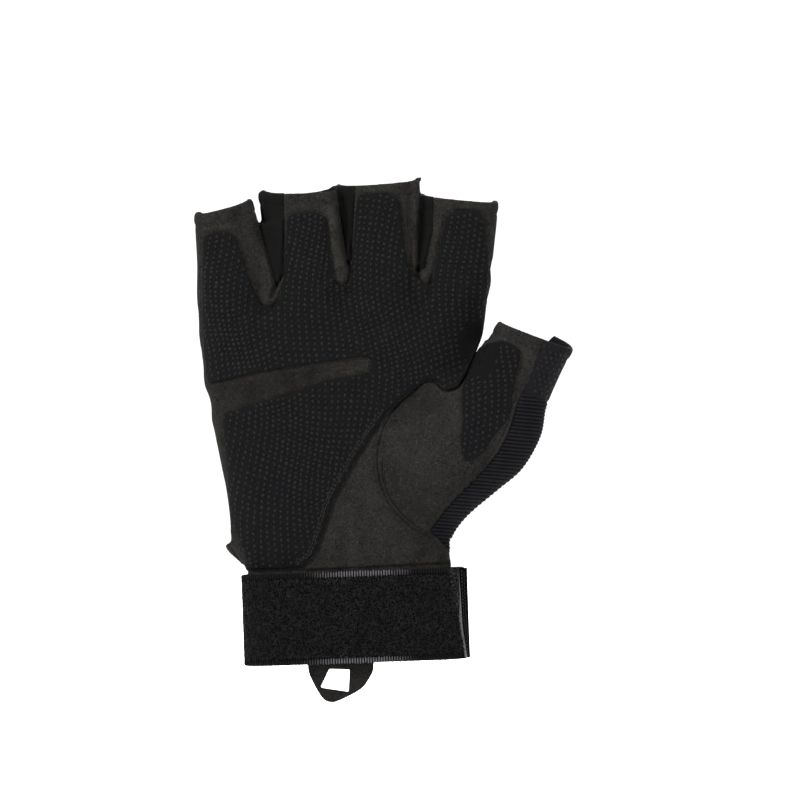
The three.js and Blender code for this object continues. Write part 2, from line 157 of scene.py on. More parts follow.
THUMB = [
    (17, 57, 33, 45.6, -12, 8, 2.3, 0, 0, 0),
    (9.6, 66, 37.6, 49.4, -19.2, 10.6, 2.3, 0, 0, 0),
    (7, 75.6, 43, 54.6, -22.8, 11.6, 2.3, 0, 0, 0),
    (10.6, 84.6, 51.4, 61.6, -25, 11.6, 2.3, 0, 0, 0),
    (19, 92.6, 60, 69.2, -25.8, 10, 2.3, 0, 0, 0),
    (30.4, 98, 66.4, 80.6, -25.2, 7.6, 2.3, 0, 0, 0),
    (40.2, 104.4, 68.5, 91.2, -23.6, 5, 2.3, 0, 0, 0),
    (45.8, 112.4, 72.9, 101.8, -21.6, 3, 2.3, 0, 0, 0),
    (51.6, 121.9, 77.9, 112, -20, 2.4, 2.3, 0, 1, -3),
]
FINGERS = (LITTLE, RING, MIDDLE, INDEX)
# How far the back rim of the thumb's open end dips, from its near side at -1 to its far side at 1.
THUMB_BACK_RIM = [(-1, 1.6), (0.34, 1.6), (0.46, -2.6), (1, -2.6)]

# How far the forms melt into each other where they meet.
BLEND_PALM = 4
BLEND_THUMB = 6
BLEND_FINGERS = 0.8
BLEND_WEB = 1.6
# How round the palm ends between the fingers.
PALM_ROUNDING = 12

# Outlines are lists of (x, z) seen from the palm.
THUMB_SEAM = [
    (49, 130), (46.6, 118), (41.4, 105.5), (36.7, 98), (32.4, 96.8), (28.8, 99.6), (25.2, 100),
    (20.5, 96.5), (14.4, 91), (9.4, 80.6), (8.3, 70.2), (10.8, 59.8), (15.8, 52.6), (21.2, 47.9),
    (28.4, 44.4),
]
THUMB_SIDE = [
    (27, 47.2), (31.6, 54.2), (37.2, 60.6), (43.2, 66.6), (48.6, 72.4), (52.8, 78.6), (55.6, 85.4),
    (57.4, 91.4), (59.6, 96.6), (62.2, 101.8), (64.6, 108), (68.4, 120.6), (71, 130),
]
THUMB_BACK_SEAM = [
    (48.5, 130), (46.6, 119), (41.4, 105.5), (38.5, 86.4), (36, 64.8), (33.6, 46.4), (36, 38),
]
PAST_THUMB = [(85, 130), (85, 38), (36, 38)]
RIB_TOP = [(16, 111.4), (96, 83.4)]
RIB_ZONE = [*RIB_TOP, (96, 20), (16, 20)]
GRIP_FIELD = [
    (-54.4, 122), (-54.2, 112), (-52.8, 100.4), (-47.5, 92), (-47.4, 87.8), (-44.4, 49.3),
    (-39.6, 40.7), (-38.8, 33), (-18.2, 33.9), (-13.3, 40), (-7.2, 58.3), (-0.4, 70.7), (5.4, 79.9),
    (11.5, 88.9), (20.5, 96.5), (25.2, 100.4), (29.2, 100.4), (32.4, 96.8), (36.7, 98), (40, 102),
    (42.6, 107), (52, 112), (52, 134), (49, 135), (29.9, 141), (28.4, 136.6), (27, 134.8),
    (25, 135), (23.4, 137.2), (20.8, 139.4), (19.6, 141.5), (-1.4, 139.4), (-2, 136.2), (-4.4, 134.4),
    (-7, 135.6), (-8.2, 139.4), (-25.9, 135), (-26.8, 130), (-29.4, 126.8), (-33, 127.4), (-36, 132.4),
]
# The grip fabric's lobes: the z of the top, left and right x of the top and of the base, the z of
# the base, and how high the round end is.
GRIP_LOBES = [
    (153.6, -54.4, -41.6, -54.6, -31.5, 120, 3.2),
    (160.6, -24.4, -10, -26.6, -6.4, 122, 3.4),
    (167.2, 0.4, 15.8, -2.6, 21, 130, 3.4),
    (161.4, 32, 46.6, 26.4, 50, 131, 4.6),
]
BARE_BAND = [
    (-57, 96.5), (-50.4, 99.8), (-40.5, 101.8), (-29.4, 104.2), (3.2, 108.9), (6, 108.2),
    (6, 103.6), (3.4, 103), (-10.8, 100.6), (-21.2, 96.4), (-31.7, 93.4), (-46.8, 88.6), (-57, 87.6),
]
THUMB_GRIP = [
    (48.5, 114.2), (53.2, 114.8), (58.4, 111.4), (58.6, 107), (56.9, 101.5), (55.7, 92), (53.8, 86),
    (48.9, 80.2), (45.7, 75.2), (40.7, 71.6), (38.2, 74.2), (37.4, 79.8), (38.2, 87.2), (37.6, 93.5),
    (38.6, 99.6), (41.4, 106.4), (44.4, 112.4),
]
ABOVE = 185
# The dark walls between the fingers: the outline seen from the palm, foot first, and how high the
# cloth that closes the valley reaches.
CROTCHES = {
    "little_ring": dict(
        outline=[(-27.8, 134.2), (-25.4, 138.5), (-25.2, 152), (-25.8, ABOVE), (-42.5, ABOVE)], top=157.5,
    ),
    "ring_middle": dict(
        outline=[(-2.3, 142), (-1.2, 143.6), (-0.4, 160), (0.9, ABOVE), (-9.1, ABOVE)], top=ABOVE,
    ),
    "middle_index": dict(
        outline=[(22.4, 138.8), (25, 140.8), (27.8, 154), (28.6, ABOVE), (23.6, ABOVE)], top=ABOVE,
    ),
}
WEB = dict(foot_z=120, half=3.2, grown=2.6, foot_y=-11.6, front=-7.6, rise=18, slant=2.4, back=7.5)
PULL_LOOP_EDGE = [
    (-15.6, 8), (-16.7, -1.4), (-14.8, -7), (-11.4, -12.6), (-8.6, -14), (-5.4, -13.4), (2.2, -9.4),
    (5.6, -5), (6.9, -1.2), (6.4, 8),
]
PULL_LOOP_HOLE = [(-8.9, -2.2), (-1.8, -2.4), (-2.2, -10.1), (-12, -8.6)]
# The middle of the ball of the thumb, and the stitches beside the grip fabric's lower edge.
THUMB_MIDDLE = (30, 75)
HEEL_EDGE = [(-19.6, 36), (-15, 40.8), (-9, 58.6), (-2.2, 71.2), (3.6, 80.4), (9.6, 89.2)]

# What the knits' colour is multiplied by where they look bluer.
TINT = (0.98, 0.98, 1.16)
# Painted shade and painted light: soft ovals where the cloth is coloured darker for shade that falls there,
# and lighter for light that falls there: middle x and z, half sizes, and strength, which is below nothing
# where the cloth is painted lighter.
PALM_PAINTED_SHADING = [(-28, 97, 34, 11, 0.45), (-8.5, 152, 4, 18, -0.4), (-40, 160, 8, 5, 0.1)]
THUMB_PAINTED_SHADING = [(22, 93.5, 11, 7, 0.4), (40, 101, 8, 10, 0.3), (19, 62, 19, 13, 0.2), (53, 86, 7, 18, -0.6)]
WEB_PAINTED_SHADE = (45, 112, 17, 24, 0.75)
# Ovals where the dots are worn away: middle x and z, half sizes, and how softly they fade.
PALM_WORN = (44, 114, 13, 17, 1)
THUMB_WORN = (45, 109, 11, 17, 0.8)
# The pale flecks in the suede.
LINT = (0.027, 0.0265, 0.0245)

# Folds in the palm side: the x and z of both ends of a line, its depth and its half width. A roll
# that stands out has a depth below nothing.
FOLDS = [
    (-37.6, 160, -30.4, 135.2, -1.1, 2),
    (-34.9, 158.4, -28, 134.6, 0.9, 0.6),
    (-27.7, 135, -29.6, 130.4, 1.1, 0.7),
    (-31.6, 131.6, -31, 127.6, -0.8, 1.6),
    (-29.2, 127.6, -22, 121.6, 0.5, 1.3),
    (-31.5, 126, -35.5, 119, 0.5, 1.6),
    (-9.4, 168, -4.8, 142.5, -1, 1.9),
    (-6, 162, -2.4, 142.4, 0.8, 0.6),
    (-2.4, 142.6, -0.6, 139.4, 1.1, 0.7),
    (-4.8, 140.6, -4, 135.6, -0.9, 2),
    (-1.6, 138, -2, 132, 0.5, 1),
    (-6.8, 134, -9, 129, 0.4, 1.2),
    (19.9, 170, 19.8, 143.5, 0.4, 0.8),
    (22, 171, 21.6, 143, -0.8, 1.2),
    (23.2, 161, 22.6, 140.2, 0.7, 0.6),
    (22.4, 140.4, 22.9, 137.8, 1.2, 0.8),
    (27.4, 152, 25.2, 140.6, 0.4, 0.7),
    (20.6, 138, 20.4, 133, 0.4, 0.9),
    (25.4, 139, 24.6, 132.4, -0.7, 1.5),
    (27.4, 137, 27.2, 131, 0.4, 1.1),
    (30, 165, 28.4, 150, -0.4, 1.4),
    (22, 94, 33, 99.5, 0.2, 1.6),
    (11.5, 87.5, 21.5, 97, 0.6, 1.8),
    (33.5, 98.5, 41, 108, 0.3, 1.6),
    (15, 84, 26, 90, 0.8, 2.2),
    (18, 90, 30, 94.5, 0.7, 2.2),
    (8.5, 84, 14, 85.5, 0.6, 1.4),
    (9, 78.5, 15, 79, 0.4, 1.6),
    (27, 88, 34, 94, 0.4, 2.2),
    (-54, 92.4, -34, 97.4, 0.7, 3.4),
    (-34, 97.4, -14, 102.6, 0.8, 3),
    (-14, 102.6, 3, 106, 0.7, 2),
    (-44, 112, -20, 118, 0.5, 3),
    (-20, 118, 8, 118.5, 0.4, 3),
    (2, 98, 14, 108, 0.5, 3),
    (-46, 84, -24, 92, 0.4, 2.6),
    (-30, 60, -18, 78, 0.4, 4),
    (30, 42, 22, 36, 0.5, 1.6),
    (14, 45, 12, 36, 0.4, 1.8),
    (-3, 48, -2, 36, 0.4, 2.2),
    (-44.6, 41.2, -39.2, 34.4, 0.5, 0.45),
    (-38.6, 31.8, 33.2, 35.2, 0.8, 0.5),
]

# How deep each kind of seam sinks into the cloth, and its half width. A roll stands out.
SEAMS = dict(
    thumb=(0.65, 0.65), topstitch=(0.45, 0.45), thumb_roll=(-0.3, 0.45), thumb_back=(0.5, 0.8),
    ribs=(0.3, 0.7), side=(0.45, 0.9), walls=(0.3, 0.7), hem=(0.35, 0.45), hem_roll=(-0.25, 1.6),
)


def named(columns, row):
    """A row of a table, by the names of its columns."""
    return dict(zip(columns, row))


# The camera, the floor and the light.


def link(obj):
    bpy.context.scene.collection.objects.link(obj)
    return obj


def add_camera():
    data = bpy.data.cameras.new("camera")
    data.lens = LENS
    data.sensor_width = SENSOR
    middle = PHOTO_SIDE / 2
    distance = PHOTO_SIDE * PIXEL * LENS / SENSOR
    camera = link(bpy.data.objects.new("camera", data))
    x = (middle - ORIGIN_PIXEL[0]) * PIXEL
    z = (ORIGIN_PIXEL[1] - middle) * PIXEL
    camera.location = (x * MM, -distance * MM, z * MM)
    camera.rotation_euler = (PI / 2, 0, 0)
    bpy.context.scene.camera = camera


def add_light(name, place, size, power):
    data = bpy.data.lights.new(name, "AREA")
    data.shape = "DISK"
    data.size = size
    data.energy = power
    lamp = link(bpy.data.objects.new(name, data))
    lamp.location = place
    toward = Vector(LIGHT_AIM) - Vector(place)
    lamp.rotation_euler = toward.to_track_quat("-Z", "Y").to_euler()


# Shader nodes.


class Value:
    """A number that a shader works out, so that the maths of its nodes reads as plain maths."""

    def __init__(self, shader, socket):
        self.shader = shader
        self.socket = socket

    def __add__(self, other):
        return self.shader.math("ADD", self, other)

    def __sub__(self, other):
        return self.shader.math("SUBTRACT", self, other)

    def __mul__(self, other):
        return self.shader.math("MULTIPLY", self, other)

    def __abs__(self):
        return self.shader.math("ABSOLUTE", self)


class Shader:
    """A material's node tree, built with one call for each node."""

    def __init__(self, name):
        self.material = bpy.data.materials.new(name)
        self.material.use_nodes = True
        self.tree = self.material.node_tree
        self.tree.nodes.clear()
        self.place = self.add("ShaderNodeTexCoord").outputs["Object"]

    def add(self, kind, settings=None, **inputs):
        node = self.tree.nodes.new(kind)
        for key, value in (settings or {}).items():
            setattr(node, key, value)
        for key, value in inputs.items():
            name = key.replace("_", " ")
            self.plug(node.inputs[int(key[1:]) if key[0] == "i" and key[1:].isdigit() else name], value)
        return node

    def plug(self, socket, value):
        """Links another node's output to the socket, or sets it to a number or a colour."""
        value = getattr(value, "socket", value)
        if isinstance(value, bpy.types.NodeSocket):
            self.tree.links.new(value, socket)
        elif value is not None:
            socket.default_value = (*value, 1) if socket.type == "RGBA" else value

    def math(self, operation, a, b=0.0):
        return Value(self, self.add("ShaderNodeMath", {"operation": operation}, i0=a, i1=b).outputs[0])

    def wave(self, value, length):
        return self.math("SINE", value * (2 * PI / length))

    def parts(self, vector):
        """The x, y and z of a vector."""
        return [Value(self, part) for part in self.add("ShaderNodeSeparateXYZ", Vector=vector).outputs]

    def noise(self, size, detail=3.0, roughness=0.6):
        """Soft noise whose lumps measure about size millimetres."""
        inputs = {"Vector": self.place, "Scale": 1 / (size * MM), "Detail": detail, "Roughness": roughness}
        return Value(self, self.add("ShaderNodeTexNoise", **inputs).outputs[0])

    def ramp(self, value, low, high, to_low=0.0, to_high=1.0):
        """A value spread from one range over another, and held there."""
        inputs = {"Value": value, "From_Min": low, "From_Max": high, "To_Min": to_low, "To_Max": to_high}
        return Value(self, self.add("ShaderNodeMapRange", **inputs).outputs[0])

    def mix(self, share, a, b):
        return self.add("ShaderNodeMix", {"data_type": "RGBA"}, i0=share, i6=a, i7=b).outputs[2]

    def specks(self, spacing, size, share):
        """Small round flecks, one in some of the cells that are spacing millimetres wide."""
        cells = self.add("ShaderNodeTexVoronoi", Vector=self.place, Scale=1 / (spacing * MM))
        fleck = self.ramp(cells.outputs["Distance"], size / spacing, 0.35 * size / spacing)
        lot = self.add("ShaderNodeSeparateColor", Color=cells.outputs["Color"]).outputs[0]
        return fleck * self.math("LESS_THAN", lot, share)

    def with_painted_shading(self, tone, ovals):
        """The tone with painted shade and painted light in soft ovals: each one's middle x and z, half sizes
        and strength; darker where the strength is above nothing.
        """
        x, _, z = self.parts(self.place)
        for middle_x, middle_z, wide, high, strength in ovals:
            across = (x - middle_x * MM) * (1 / (wide * MM))
            up = (z - middle_z * MM) * (1 / (high * MM))
            tone = tone * self.ramp(across * across + up * up, 0.1, 1, 1 - strength, 1)
        return tone

    def bump(self, height, depth, after=None):
        inputs = {"Height": height, "Strength": 1, "Distance": depth * MM, "Normal": after}
        return self.add("ShaderNodeBump", **inputs).outputs[0]

    def finish(self, color, roughness, gloss, normal=None):
        inputs = {"Base_Color": color, "Roughness": roughness, "Specular_IOR_Level": gloss, "Normal": normal}
        shader = self.add("ShaderNodeBsdfPrincipled", **inputs)
        self.add("ShaderNodeOutputMaterial", Surface=shader.outputs[0])
        return self.material

    def knit(self):
        """The height of a plain knit: columns of V stitches, on faces turned to Y and to X."""
        x, y, z = self.parts(self.place)
        turned = self.parts(self.add("ShaderNodeNewGeometry").outputs["Normal"])[0]
        faces = []
        for across in (x, y):
            arm = abs(self.math("FRACT", across * (1 / (WALE * MM))) - 0.5)
            slant = z * (1 / (COURSE * MM)) + arm * 1.2
            faces.append((self.wave(slant, 1) + 1.3) * self.wave(arm, 1))
        side = self.ramp(abs(turned), 0.6, 0.8)
        node = self.add("ShaderNodeMix", {"data_type": "FLOAT"}, i0=side, i2=faces[0], i3=faces[1])
        return Value(self, node.outputs[0])


def suede(name, dark, light, fleck, painted_shading=()):
    """Napped suede with pale flecks, with painted shade and painted light in the given ovals."""
    s = Shader(name)
    cloudy = s.noise(9, detail=4)
    nap = s.noise(1.6, detail=3, roughness=0.7)
    grain = s.noise(0.62, detail=2, roughness=0.9)
    tone = s.with_painted_shading(s.ramp((cloudy + nap) * 0.32 + grain, 0.6, 1.03), painted_shading)
    lint = s.specks(0.95, 0.36, 0.3) * s.ramp(nap, 0.4, 0.6)
    color = s.mix(lint * fleck, s.mix(tone, dark, light), LINT)
    return s.finish(color, 0.95, 0.03, s.bump(grain, 0.14, s.bump(nap, 0.2)))


def knit_cloth(name, dark, light, depth=0.1, painted_shading=()):
    """A plain knit, bluer in places, with painted shade in the given ovals."""
    s = Shader(name)
    loops = s.knit()
    fuzz = s.noise(0.5, detail=3, roughness=0.7)
    tone = s.with_painted_shading(s.ramp(loops * 0.35 + fuzz, 0.35, 1.1), painted_shading)
    bluer = [c * t for c, t in zip(light, TINT)]
    color = s.mix(tone, dark, s.mix(s.ramp(s.noise(8, detail=2), 0.42, 0.62), light, bluer))
    return s.finish(color, 0.85, 0.04, s.bump(fuzz, 0.06, s.bump(loops, depth)))


def ribbed_knit():
    """The knit of the ribs, with painted shade: dark in the gaps between them."""
    s = Shader("rib_knit")
    x, _, z = s.parts(s.place)
    ridge = abs(s.wave((z + x * RIB["slope"]) * (1 / MM), 2 * RIB["pitch"]))
    fuzz = s.noise(0.6, detail=3, roughness=0.7)
    tone = s.ramp(ridge + s.noise(4, detail=2) * 0.5 + fuzz * 0.5, 0.6, 1.75)
    color = s.mix(tone, (0.0006, 0.0006, 0.0008), (0.0063, 0.0063, 0.0076))
    return s.finish(color, 0.9, 0.02, s.bump(fuzz, 0.08))


def rubber_dots():
    s = Shader("grip_dots")
    # The dots' tone varies at random, with painted shade darkening them near the thumb's web.
    wear_and_painted_light = s.with_painted_shading(s.ramp(s.noise(1.9, detail=2), 0.38, 0.7), [(*WEB_PAINTED_SHADE[:4], 0.8)])
    color = s.mix(wear_and_painted_light, (0.0018, 0.0019, 0.002), (0.0052, 0.0053, 0.0055))
    return s.finish(color, 0.55, 0.05, s.bump(s.noise(0.3), 0.03))


def thread(name, color, gloss):
    s = Shader(name)
    twist = s.noise(0.25, detail=2)
    tone = s.mix(s.ramp(twist, 0.3, 0.7), [0.6 * c for c in color], color)
    return s.finish(tone, 0.6, gloss, s.bump(twist, 0.04))


def woven_tape():
    s = Shader("tape")
    x, _, z = s.parts(s.place)
    weave = s.wave(z, 0.7 * MM) * s.wave(x, MM)
    fuzz = s.noise(0.6, detail=3)
    color = s.mix(s.ramp(weave * 0.2 + fuzz, 0.3, 0.8), (0.0014, 0.0014, 0.0015), (0.006, 0.006, 0.0064))
    return s.finish(color, 0.9, 0, s.bump(weave, 0.07, s.bump(fuzz, 0.05)))


def pile(name, low, high, gloss):
    s = Shader(name)
    color = s.mix(s.ramp(s.noise(2.4, detail=4, roughness=0.7), 0.35, 0.7), low, high)
    return s.finish(color, 0.6, gloss, s.bump(s.noise(0.3), 0.05))


def film(name, grain, roughness, color, gloss, contrast):
    """Film with painted glints: bright crumbs and specks, brighter than the rest by the contrast."""
    s = Shader(name)
    crumb = s.ramp(s.noise(0.6, detail=2, roughness=0.8), 0.4, 0.62)
    glint = s.math("MAXIMUM", crumb * 0.3, s.specks(0.5, 0.42, 0.32))
    tone = s.mix(glint, color, [contrast * c for c in color])
    return s.finish(tone, roughness, gloss, s.bump(crumb, grain))


def selvedge_yarn():
    """Yarn with a painted sheen: light in the middle of the strap, where light catches its ribs, and dark
    towards its ends.
    """
    s = Shader("selvedge_yarn")
    away = abs(s.parts(s.place)[0] - 2 * MM)
    # Painted highlight: the yarn's colour is light near the strap's middle and darkens away from it.
    wear_and_painted_light = s.ramp(away + s.noise(5) * (12 * MM), 14 * MM, 26 * MM, 1, 0)
    color = s.mix(wear_and_painted_light, (0.002, 0.002, 0.0021), (0.041, 0.0405, 0.0435))
    return s.finish(color, 0.6, 0.05, s.bump(s.noise(0.3), 0.04))


def floor_paint():
    s = Shader("floor")
    return s.finish(s.mix(s.noise(400), (0.86, 0.86, 0.86), (0.88, 0.88, 0.88)), 0.9, 0.1)


def add_studio():
    for name, (place, size, power) in LIGHTS.items():
        add_light(name, place, size, power)
    world = bpy.data.worlds.new("studio")
    bpy.context.scene.world = world
    world.use_nodes = True
    nodes, links = world.node_tree.nodes, world.node_tree.links
    nodes.clear()
    sky = nodes.new("ShaderNodeBackground")
    sky.inputs["Color"].default_value = (1, 1, 1, 1)
    sky.inputs["Strength"].default_value = SKY
    output = nodes.new("ShaderNodeOutputWorld")
    links.new(sky.outputs[0], output.inputs["Surface"])
    bpy.context.scene.view_settings.view_transform = "Standard"
    mesh = bpy.data.meshes.new("floor")
    corners = [(x * FLOOR_HALF, y * FLOOR_HALF) for x, y in ((-1, -1), (1, -1), (1, 1), (-1, 1))]
    mesh.from_pydata([(*corner, FLOOR_Z * MM) for corner in corners], [], [(0, 1, 2, 3)])
    mesh.materials.append(floor_paint())
    link(bpy.data.objects.new("floor", mesh))


# Meshes.


def thinned(mesh, share):
    """The mesh with that share of its triangles, taken out where it is nearly flat."""
    carrier = link(bpy.data.objects.new("carrier", mesh))
    carrier.modifiers.new("thin", "DECIMATE").ratio = share
    held = carrier.evaluated_get(bpy.context.evaluated_depsgraph_get())
    result = bpy.data.meshes.new_from_object(held)
    bpy.data.objects.remove(carrier)
    return result


def make_piece(name, shape, material, stands_for=()):
    """A piece riding on the body, from points in millimetres and an array of triangles or quads."""
    vertices, faces = shape
    mesh = bpy.data.meshes.new(name)
    faces = np.asarray(faces, np.int32)
    count, sides = faces.shape
    mesh.vertices.add(len(vertices))
    mesh.vertices.foreach_set("co", (np.asarray(vertices, np.float32) * MM).ravel())
    mesh.loops.add(count * sides)
    mesh.loops.foreach_set("vertex_index", faces.ravel())
    mesh.polygons.add(count)
    mesh.polygons.foreach_set("loop_start", np.arange(count, dtype=np.int32) * sides)
    mesh.polygons.foreach_set("use_smooth", np.ones(count, bool))
    mesh.update(calc_edges=True)
    mesh.validate()
    mesh.materials.append(material)
    if name in KEPT_SHARE:
        mesh = thinned(mesh, KEPT_SHARE[name])
    piece = link(bpy.data.objects.new(name, mesh))
    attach(piece, "root")
    if stands_for:
        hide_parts(*stands_for)


def copies(template, faces, places, axes, scales):
    """One mesh of many copies of a small form. axes holds each copy's three directions."""
    template = np.asarray(template, float)
    points = template[None, :, :] * np.asarray(scales, float)[:, None, :]
    turned = np.einsum("nki,nij->nkj", points, axes)
    vertices = (turned + places[:, None, :]).reshape(-1, 3)
    faces = np.asarray(faces)
    shift = np.arange(len(places))[:, None, None] * len(template)
    return vertices, (faces[None] + shift).reshape(-1, faces.shape[1])


def frames_along(tangents, normals):
    """Rows of unit axes: along the tangent, sideways, and out along the normal."""
    out = normals / np.linalg.norm(normals, axis=1, keepdims=True)
    side = np.cross(out, tangents)
    side /= np.linalg.norm(side, axis=1, keepdims=True)
    return np.stack([np.cross(side, out), side, out], axis=1)


def lathe(profile, sides):
    """A closed form turned round its third axis from (radius, height) pairs, as triangles."""
    angles = np.arange(sides) * 2 * PI / sides
    rings = [[(r * math.cos(a), r * math.sin(a), h) for a in angles] for r, h in profile[1:-1]]
    points = [(0, 0, profile[0][1])] + [p for ring in rings for p in ring] + [(0, 0, profile[-1][1])]
    last = len(points) - 1
    faces = []
    for i in range(sides):
        j = (i + 1) % sides
        faces.append((0, 1 + j, 1 + i))
        for r in range(len(rings) - 1):
            a, b = 1 + r * sides + i, 1 + r * sides + j
            faces += [(a, b, b + sides), (a, b + sides, a + sides)]
        end = 1 + (len(rings) - 1) * sides
        faces.append((last, end + i, end + j))
    return points, faces


def capsule():
    """A stitch: a short rod along the first axis, one unit long, thick and high."""
    profile = [(0, -0.5), (0.3, -0.47), (0.5, -0.3), (0.5, 0.3), (0.3, 0.47), (0, 0.5)]
    points, faces = lathe(profile, 6)
    return [(h, b, a) for a, b, h in points], [f[::-1] for f in faces]


def dome():
    """A raised dot one unit across and one unit high, with its foot sunk in."""
    profile = [(0, -0.4), (0.48, -0.4), (0.5, 0.15), (0.36, 0.75), (0, 1.0)]
    return lathe(profile, 7)


# Sampled space.


class Grid:
    """Evenly spaced sample points of a box, from their places along each axis in millimetres."""

    def __init__(self, axes, step):
        self.axes = axes
        self.step = step
        self.low = np.array([axis[0] for axis in axes], float)
        self.shape = tuple(len(axis) for axis in axes)
        self.x, self.z = np.meshgrid(axes[0], axes[2], indexing="ij")
        self.y = axes[1][None, :, None]

    def window(self, low_x, high_x, low_z, high_z):
        """The part of the grid round a stretch of x and z, and its place in the whole."""
        spans = [slice(None)] * 3
        for axis, low, high in ((0, low_x, high_x), (2, low_z, high_z)):
            first = max(int((low - self.low[axis]) / self.step), 0)
            last = min(int((high - self.low[axis]) / self.step) + 2, self.shape[axis])
            spans[axis] = slice(first, last)
        return Grid([axis[span] for axis, span in zip(self.axes, spans)], self.step), tuple(spans)

    def at(self, field, points):
        """The field's value at each point, between the samples."""
        place = (points - self.low) / self.step
        base = np.clip(np.floor(place).astype(int), 0, np.array(self.shape) - 2)
        share = np.clip(place - base, 0, 1)
        total = np.zeros(len(points))
        for corner in np.ndindex(2, 2, 2):
            weight = np.prod(np.where(corner, share, 1 - share), axis=1)
            total += weight * field[tuple((base + corner).T)]
        return total

    def normals(self, field, points):
        steps = np.eye(3) * self.step
        slope = np.stack([self.at(field, points + s) - self.at(field, points - s) for s in steps], axis=1)
        return slope / np.maximum(np.linalg.norm(slope, axis=1, keepdims=True), 1e-6)

    def settle(self, field, points, level):
        """Points moved along the field's slope until they lie at the given level."""
        for _ in range(SETTLE_TURNS):
            away = self.at(field, points) - level
            points = points - np.clip(away, -2, 2)[:, None] * self.normals(field, points)
        return points


def box_grid(low, high, step):
    """The grid of a whole box."""
    return Grid([np.arange(a, b, step, dtype=np.float32) for a, b in zip(low, high)], step)


def lifted(flat):
    """A map over x and z, made to meet fields over all three axes."""
    return flat[:, None, :]


def common(*fields):
    """What lies inside every one of the fields."""
    result = fields[0]
    for field in fields[1:]:
        result = np.maximum(result, field)
    return result


def surface_net(field, low, step):
    """The surface where a sampled field is zero: a vertex in each cell it crosses, and its quads."""
    inside = field < 0
    cells = tuple(n - 1 for n in field.shape)
    count = np.zeros(cells, np.int8)
    for a, b, c in np.ndindex(2, 2, 2):
        count += inside[a:a + cells[0], b:b + cells[1], c:c + cells[2]]
    crossed = np.nonzero((count > 0) & (count < 8))
    number = np.full(cells, -1, np.int32)
    number[crossed] = np.arange(len(crossed[0]))
    base = np.stack(crossed, axis=1)
    total = np.zeros((len(base), 3))
    hits = np.zeros(len(base))
    quads = []
    for axis in range(3):
        one, two = [i for i in range(3) if i != axis]
        ahead = np.eye(3, dtype=int)[axis]
        for corner in np.ndindex(2, 2, 2):
            if corner[axis]:
                continue
            start = base + corner
            near = field[tuple(start.T)]
            far = field[tuple((start + ahead).T)]
            cut = (near < 0) != (far < 0)
            share = near[cut] / (near[cut] - far[cut])
            total[cut] += start[cut] + share[:, None] * ahead
            hits[cut] += 1
        near, far = [slice(1, -1)] * 3, [slice(1, -1)] * 3
        near[axis], far[axis] = slice(0, -1), slice(1, None)
        changed = np.nonzero(inside[tuple(near)] != inside[tuple(far)])
        cell = np.stack(changed, axis=1)
        corners = []
        for on_one, on_two in ((0, 0), (1, 0), (1, 1), (0, 1)):
            at = cell.copy()
            at[:, one] += on_one
            at[:, two] += on_two
            corners.append(number[tuple(at.T)])
        quad = np.stack(corners, axis=1)
        leaving = inside[tuple(near)][changed]
        flip = leaving if axis == 1 else ~leaving
        quad[flip] = quad[flip][:, ::-1]
        quads.append(quad)
    return low + step * total / hits[:, None], np.concatenate(quads)


def largest_part(vertices, quads):
    """The mesh without loose crumbs: only the faces joined to its largest group."""
    label = np.arange(len(vertices))
    for _ in range(400):
        low = label[quads].min(axis=1)
        new = label.copy()
        np.minimum.at(new, quads.ravel(), np.repeat(low, 4))
        new = new[new]
        if np.array_equal(new, label):
            break
        label = new
    names, counts = np.unique(label, return_counts=True)
    keep = label == names[counts.argmax()]
    number = np.cumsum(keep) - 1
    return vertices[keep], number[quads[keep[quads[:, 0]]]]


def net_piece(name, field, grid, material, stands_for=()):
    """A piece whose surface is where the field is zero."""
    spans = []
    for axis in range(3):
        others = tuple(i for i in range(3) if i != axis)
        hit = np.nonzero((field < 0).any(axis=others))[0]
        spans.append(slice(max(hit[0] - 2, 0), hit[-1] + 3))
    low = grid.low + grid.step * np.array([s.start for s in spans])
    shape = largest_part(*surface_net(field[tuple(spans)], low, grid.step))
    make_piece(name, shape, material, stands_for)


def smooth_min(a, b, reach):
    """The smaller of two distances, with the two forms melted into each other."""
    overlap = np.maximum(reach - np.abs(a - b), 0)
    return np.minimum(a, b) - overlap * overlap / (4 * reach)


def smooth_max(a, b, reach):
    return -smooth_min(-a, -b, reach)


def smoothed(rows, pieces=4):
    """A smooth run of rows through the given ones."""
    rows = np.array(rows, float)
    padded = np.vstack([rows[:1], rows, rows[-1:]])
    t = np.arange(pieces)[:, None] / pieces
    parts = []
    for a, b, c, d in zip(padded, padded[1:], padded[2:], padded[3:]):
        parts.append(b + 0.5 * t * (c - a + t * (2 * a - 5 * b + 4 * c - d + t * (3 * (b - c) + d - a))))
    return np.vstack([*parts, rows[-1:]])


def soft_noise(grid, size, seed):
    """Smooth random heights from about -1 to 1, in lumps of about the given size."""
    random = np.random.default_rng(seed)
    counts = [int(n * grid.step / size) + 5 for n in grid.shape]
    values = random.uniform(-1, 1, counts).astype(np.float32)
    for axis, length in enumerate(grid.shape):
        place = np.arange(length) * grid.step / size
        base = place.astype(int)
        t = place - base
        weights = ((1 - t) ** 3, 3 * t**3 - 6 * t**2 + 4, 1 + 3 * t + 3 * t**2 - 3 * t**3, t**3)
        spread = np.zeros((length, counts[axis]), np.float32)
        for k, weight in enumerate(weights):
            spread[np.arange(length), base + k] = weight / 6
        values = np.moveaxis(np.tensordot(spread, values, (1, axis)), 0, axis)
    return 2.4 * values


